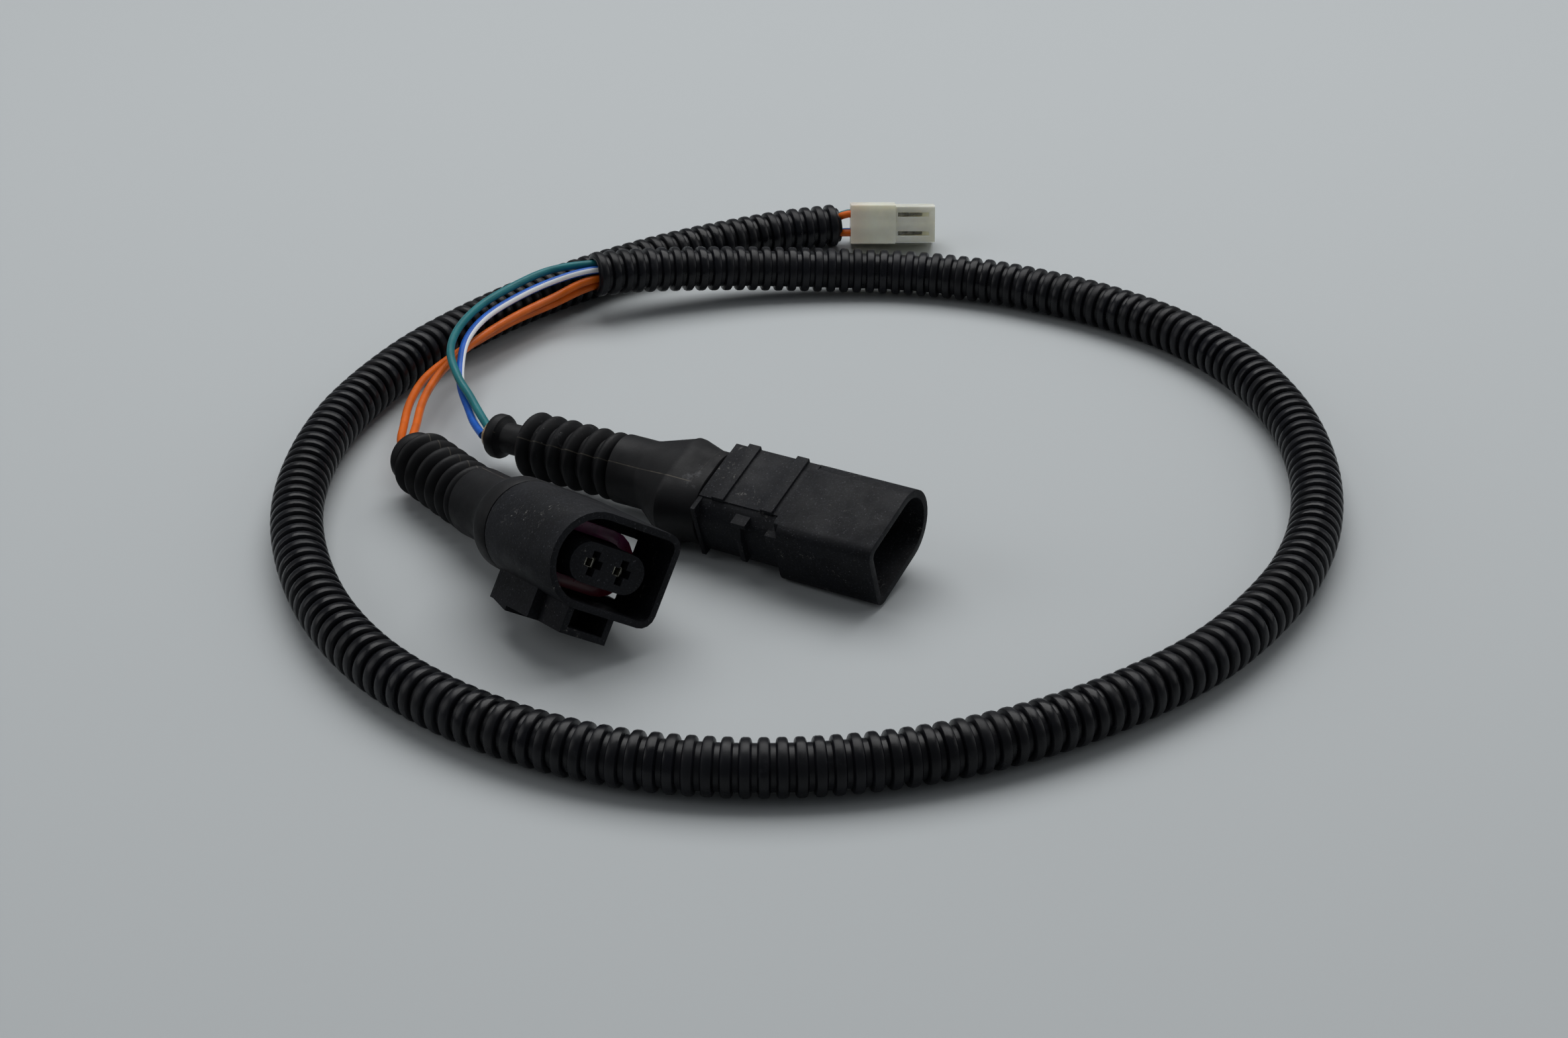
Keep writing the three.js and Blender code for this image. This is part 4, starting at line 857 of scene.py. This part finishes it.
def socket_boot():
    """The socket's boot in its connector's millimetres, made from stations and radii."""
    lip, collar_end, flare_end = -21.1, -24.7, -34.7
    sleeve_end, rings, tail = -42.9, -63.0, -66.0
    collar, sleeve, bead, mouth, bore = 9.0, 6.0, 4.6, 3.0, 2.2
    wall, height = 1.6, 15.6
    inside = collar * (1 - 2 * wall / height)
    profile = [
        (tail, bore), (tail, bead - 0.6), (tail + 0.18, bead - 0.2), (tail + 0.6, bead),
        (rings - 1.3, bead), (rings - 0.9, bead - 0.2), (rings - 0.7, bead - 0.6),
        *corrugations(rings, radius=5.8, pitch=3.35),
        (sleeve_end + 0.1, sleeve), (-38.8, sleeve), (flare_end, sleeve),
        (flare_end + 1.5, sleeve + 0.08), (flare_end + 3, sleeve + 0.34),
        (flare_end + 4.5, sleeve + 0.8), (flare_end + 6, sleeve + 1.4),
        (flare_end + 7.5, collar - 1.0), (flare_end + 9, collar - 0.4),
        (collar_end + 0.4, collar), (lip - 0.5, collar), (lip - 0.15, collar - 0.12),
        (lip, collar - 0.4), (lip, inside), (collar_end, inside), (flare_end, mouth),
        (rings + 3, mouth), (rings, bore),
    ]
    outline = d_outline(width=22.3, height=15.7, corner=2.65)
    forms = [(flare_end - 1, 1, None), (collar_end, collar, outline)]
    return moulded_boot(profile, forms, SOCKET_BEND, SOCKET_SEAM)


def plug_boot():
    """The plug's boot in its connector's millimetres, made from stations and radii."""
    lip, flare_front, flare_back = -33.5, -40.5, -47.2
    sleeve_back, rings, tail = -53.2, -73.0, -80.8
    collar, sleeve, bead, neck, mouth, bore = 8.0, 6.0, 3.95, 2.75, 3.2, 1.9
    wall, height = 1.6, 13.0
    inside = collar * (1 - 2 * wall / height)
    profile = [
        (tail, bore), (tail, bead - 0.6), (tail + 0.18, bead - 0.18), (tail + 0.6, bead),
        (tail + 1.6, bead), (tail + 2.0, bead - 0.2), (tail + 2.2, bead - 0.6),
        (tail + 2.8, neck), (rings - 0.6, neck),
        *corrugations(rings, radius=5.9, pitch=3.3),
        (sleeve_back + 0.1, sleeve), (flare_back - 3, sleeve), (flare_back - 0.5, sleeve),
        (flare_back + 0.3, sleeve + 0.15), (flare_front - 0.4, collar - 0.2),
        (flare_front, collar), (flare_front + 0.8, collar), (lip - 2.5, collar),
        (lip - 0.5, collar), (lip - 0.15, collar - 0.12), (lip, collar - 0.4), (lip, inside),
        (lip - 5.3, inside), (flare_back, mouth), (rings + 3, mouth), (rings, bore),
    ]
    flare = rounded_outline(width=18.8, height=13.3, radius=5.5, shift=-1.2)
    rim = rounded_outline(width=17.0, height=13.0, radius=6.49, shift=-1.2)
    forms = [(flare_back, 1, None), (flare_front, collar, flare), (lip - 2, collar, rim)]
    return moulded_boot(profile, forms, PLUG_BEND, PLUG_SEAM)


def sealant_tip():
    """The sealant's slightly uneven tip, in the plug connector's millimetres."""
    mesh = turned(SEALANT_PROFILE, SEALANT_SIDES, closed=False)
    cap_ends(mesh, (SEALANT_PROFILE[0][0], SEALANT_PROFILE[-1][0]))
    for vertex in mesh.verts:
        station, y, z = vertex.co
        uneven = 1 + SEALANT_UNEVENNESS * math.sin(3 * math.atan2(y, z) + station)
        vertex.co = (z * uneven, y * uneven, station)
        bent(vertex.co, PLUG_BEND)
    bmesh.ops.recalc_face_normals(mesh, faces=mesh.faces)
    return mesh


class HARNESS_OT_boots(bpy.types.Operator):
    """Makes the two bellows boots and the sealant in the plug boot's wire entry"""
    bl_idname = "harness.boots"
    bl_label = "Boots"

    def execute(self, context):
        rubber, sealant = rubber_finish(), sealant_finish()
        for name, node, mesh, place, finish, slot in (
            ("socket_bellows_boot", "socket_boot", socket_boot(), SOCKET_PLACE, rubber,
             "boot_rubber"),
            ("plug_bellows_boot", "plug_boot", plug_boot(), PLUG_PLACE, rubber, "boot_rubber"),
            ("sealant_tip", "plug_boot_sealant", sealant_tip(), PLUG_PLACE, sealant, "sealant"),
        ):
            seated(mesh, place)
            piece = finished(mesh, name, finish)
            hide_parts(node)
        return {"FINISHED"}


# Connectors

class HARNESS_OT_connectors(bpy.types.Operator):
    """Rounds and finishes the housings, the seal and the contacts"""
    bl_idname = "harness.connectors"
    bl_label = "Connectors"

    def execute(self, context):
        size = sizes()
        plastic = housing_finish()
        rounded_copy("socket_housing", "socket_shell", plastic, size.edge_radius, 3)
        rounded_copy("plug_housing", "plug_shell", plastic, size.edge_radius * 0.7, 2)
        rounded_copy("socket_seal_ring", "tower_seal", seal_finish(), 0.0003, 3)
        rounded_copy(
            "white_connector_housing", "white_shell", milky_finish(), 0.00018, 2)
        metal = tin_finish()
        for node in (
            "socket_contact_1", "socket_contact_2", "plug_blade_1", "plug_blade_2",
            "white_connector_pin_1", "white_connector_pin_2",
            "white_connector_pin_3", "white_connector_pin_4",
        ):
            rounded_copy(node, f"{node}_metal", metal, 0.00008, 2)
        return {"FINISHED"}


# Stage

class HARNESS_OT_stage(bpy.types.Operator):
    """Makes the camera, the pale floor and the soft light"""
    bl_idname = "harness.stage"
    bl_label = "Stage"

    def execute(self, context):
        scene = context.scene
        lens = bpy.data.cameras.new("camera")
        lens.sensor_width = CAMERA_SENSOR_MM
        lens.lens = CAMERA_LENS_MM
        lens.clip_start = CAMERA_NEAR
        camera = bpy.data.objects.new("camera", lens)
        camera.location = CAMERA_PLACE
        camera.rotation_euler = (math.radians(CAMERA_TILT), 0, 0)
        scene.collection.objects.link(camera)
        scene.camera = camera

        mesh = bmesh.new()
        bmesh.ops.create_grid(mesh, x_segments=2, y_segments=2, size=FLOOR_REACH)
        data = bpy.data.meshes.new("floor")
        mesh.to_mesh(data)
        mesh.free()
        floor = bpy.data.objects.new("floor", data)
        floor.location = (0, 0, -FLOOR_DROP)
        scene.collection.objects.link(floor)
        tree = Tree("Pale floor")
        tree.set(Base_Color=tuple(colours().floor), Roughness=0.6, Specular_IOR_Level=0.2)
        data.materials.append(tree.material)

        for name, at, turn, width, depth, power in LAMPS:
            light = bpy.data.lights.new(name, "AREA")
            light.shape = "RECTANGLE"
            light.size, light.size_y = width, depth
            light.energy = power
            lamp = bpy.data.objects.new(name, light)
            lamp.location = at
            lamp.rotation_euler = [math.radians(angle) for angle in turn]
            scene.collection.objects.link(lamp)

        world = bpy.data.worlds.new("studio")
        world.use_nodes = True
        sky = world.node_tree.nodes["Background"]
        sky.inputs["Color"].default_value = SKY_COLOUR
        sky.inputs["Strength"].default_value = SKY_STRENGTH
        scene.world = world
        scene.view_settings.view_transform = "Standard"
        return {"FINISHED"}


class HARNESS_PT_panel(bpy.types.Panel):
    """Lists the harness's pieces in the sidebar"""
    bl_idname = "HARNESS_PT_panel"
    bl_label = "Wiring harness"
    bl_space_type = "VIEW_3D"
    bl_region_type = "UI"
    bl_category = "Harness"

    def draw(self, context):
        layout = self.layout
        for group in (context.scene.harness_sizes, context.scene.harness_colours):
            for name in group.__annotations__:
                layout.prop(group, name)
        for operator in OPERATORS:
            layout.operator(operator.bl_idname)


OPERATORS = (
    HARNESS_OT_stage,
    HARNESS_OT_conduit,
    HARNESS_OT_wires,
    HARNESS_OT_boots,
    HARNESS_OT_connectors,
)
CLASSES = (HarnessSizes, HarnessColours, *OPERATORS, HARNESS_PT_panel)


def register():
    for each in CLASSES:
        bpy.utils.register_class(each)
    bpy.types.Scene.harness_sizes = bpy.props.PointerProperty(type=HarnessSizes)
    bpy.types.Scene.harness_colours = bpy.props.PointerProperty(type=HarnessColours)


def unregister():
    del bpy.types.Scene.harness_colours
    del bpy.types.Scene.harness_sizes
    for each in reversed(CLASSES):
        bpy.utils.unregister_class(each)


def main():
    register()
    bpy.ops.harness.stage()
    bpy.ops.harness.conduit()
    bpy.ops.harness.wires()
    bpy.ops.harness.boots()
    bpy.ops.harness.connectors()


if __name__ == "__main__":
    main()
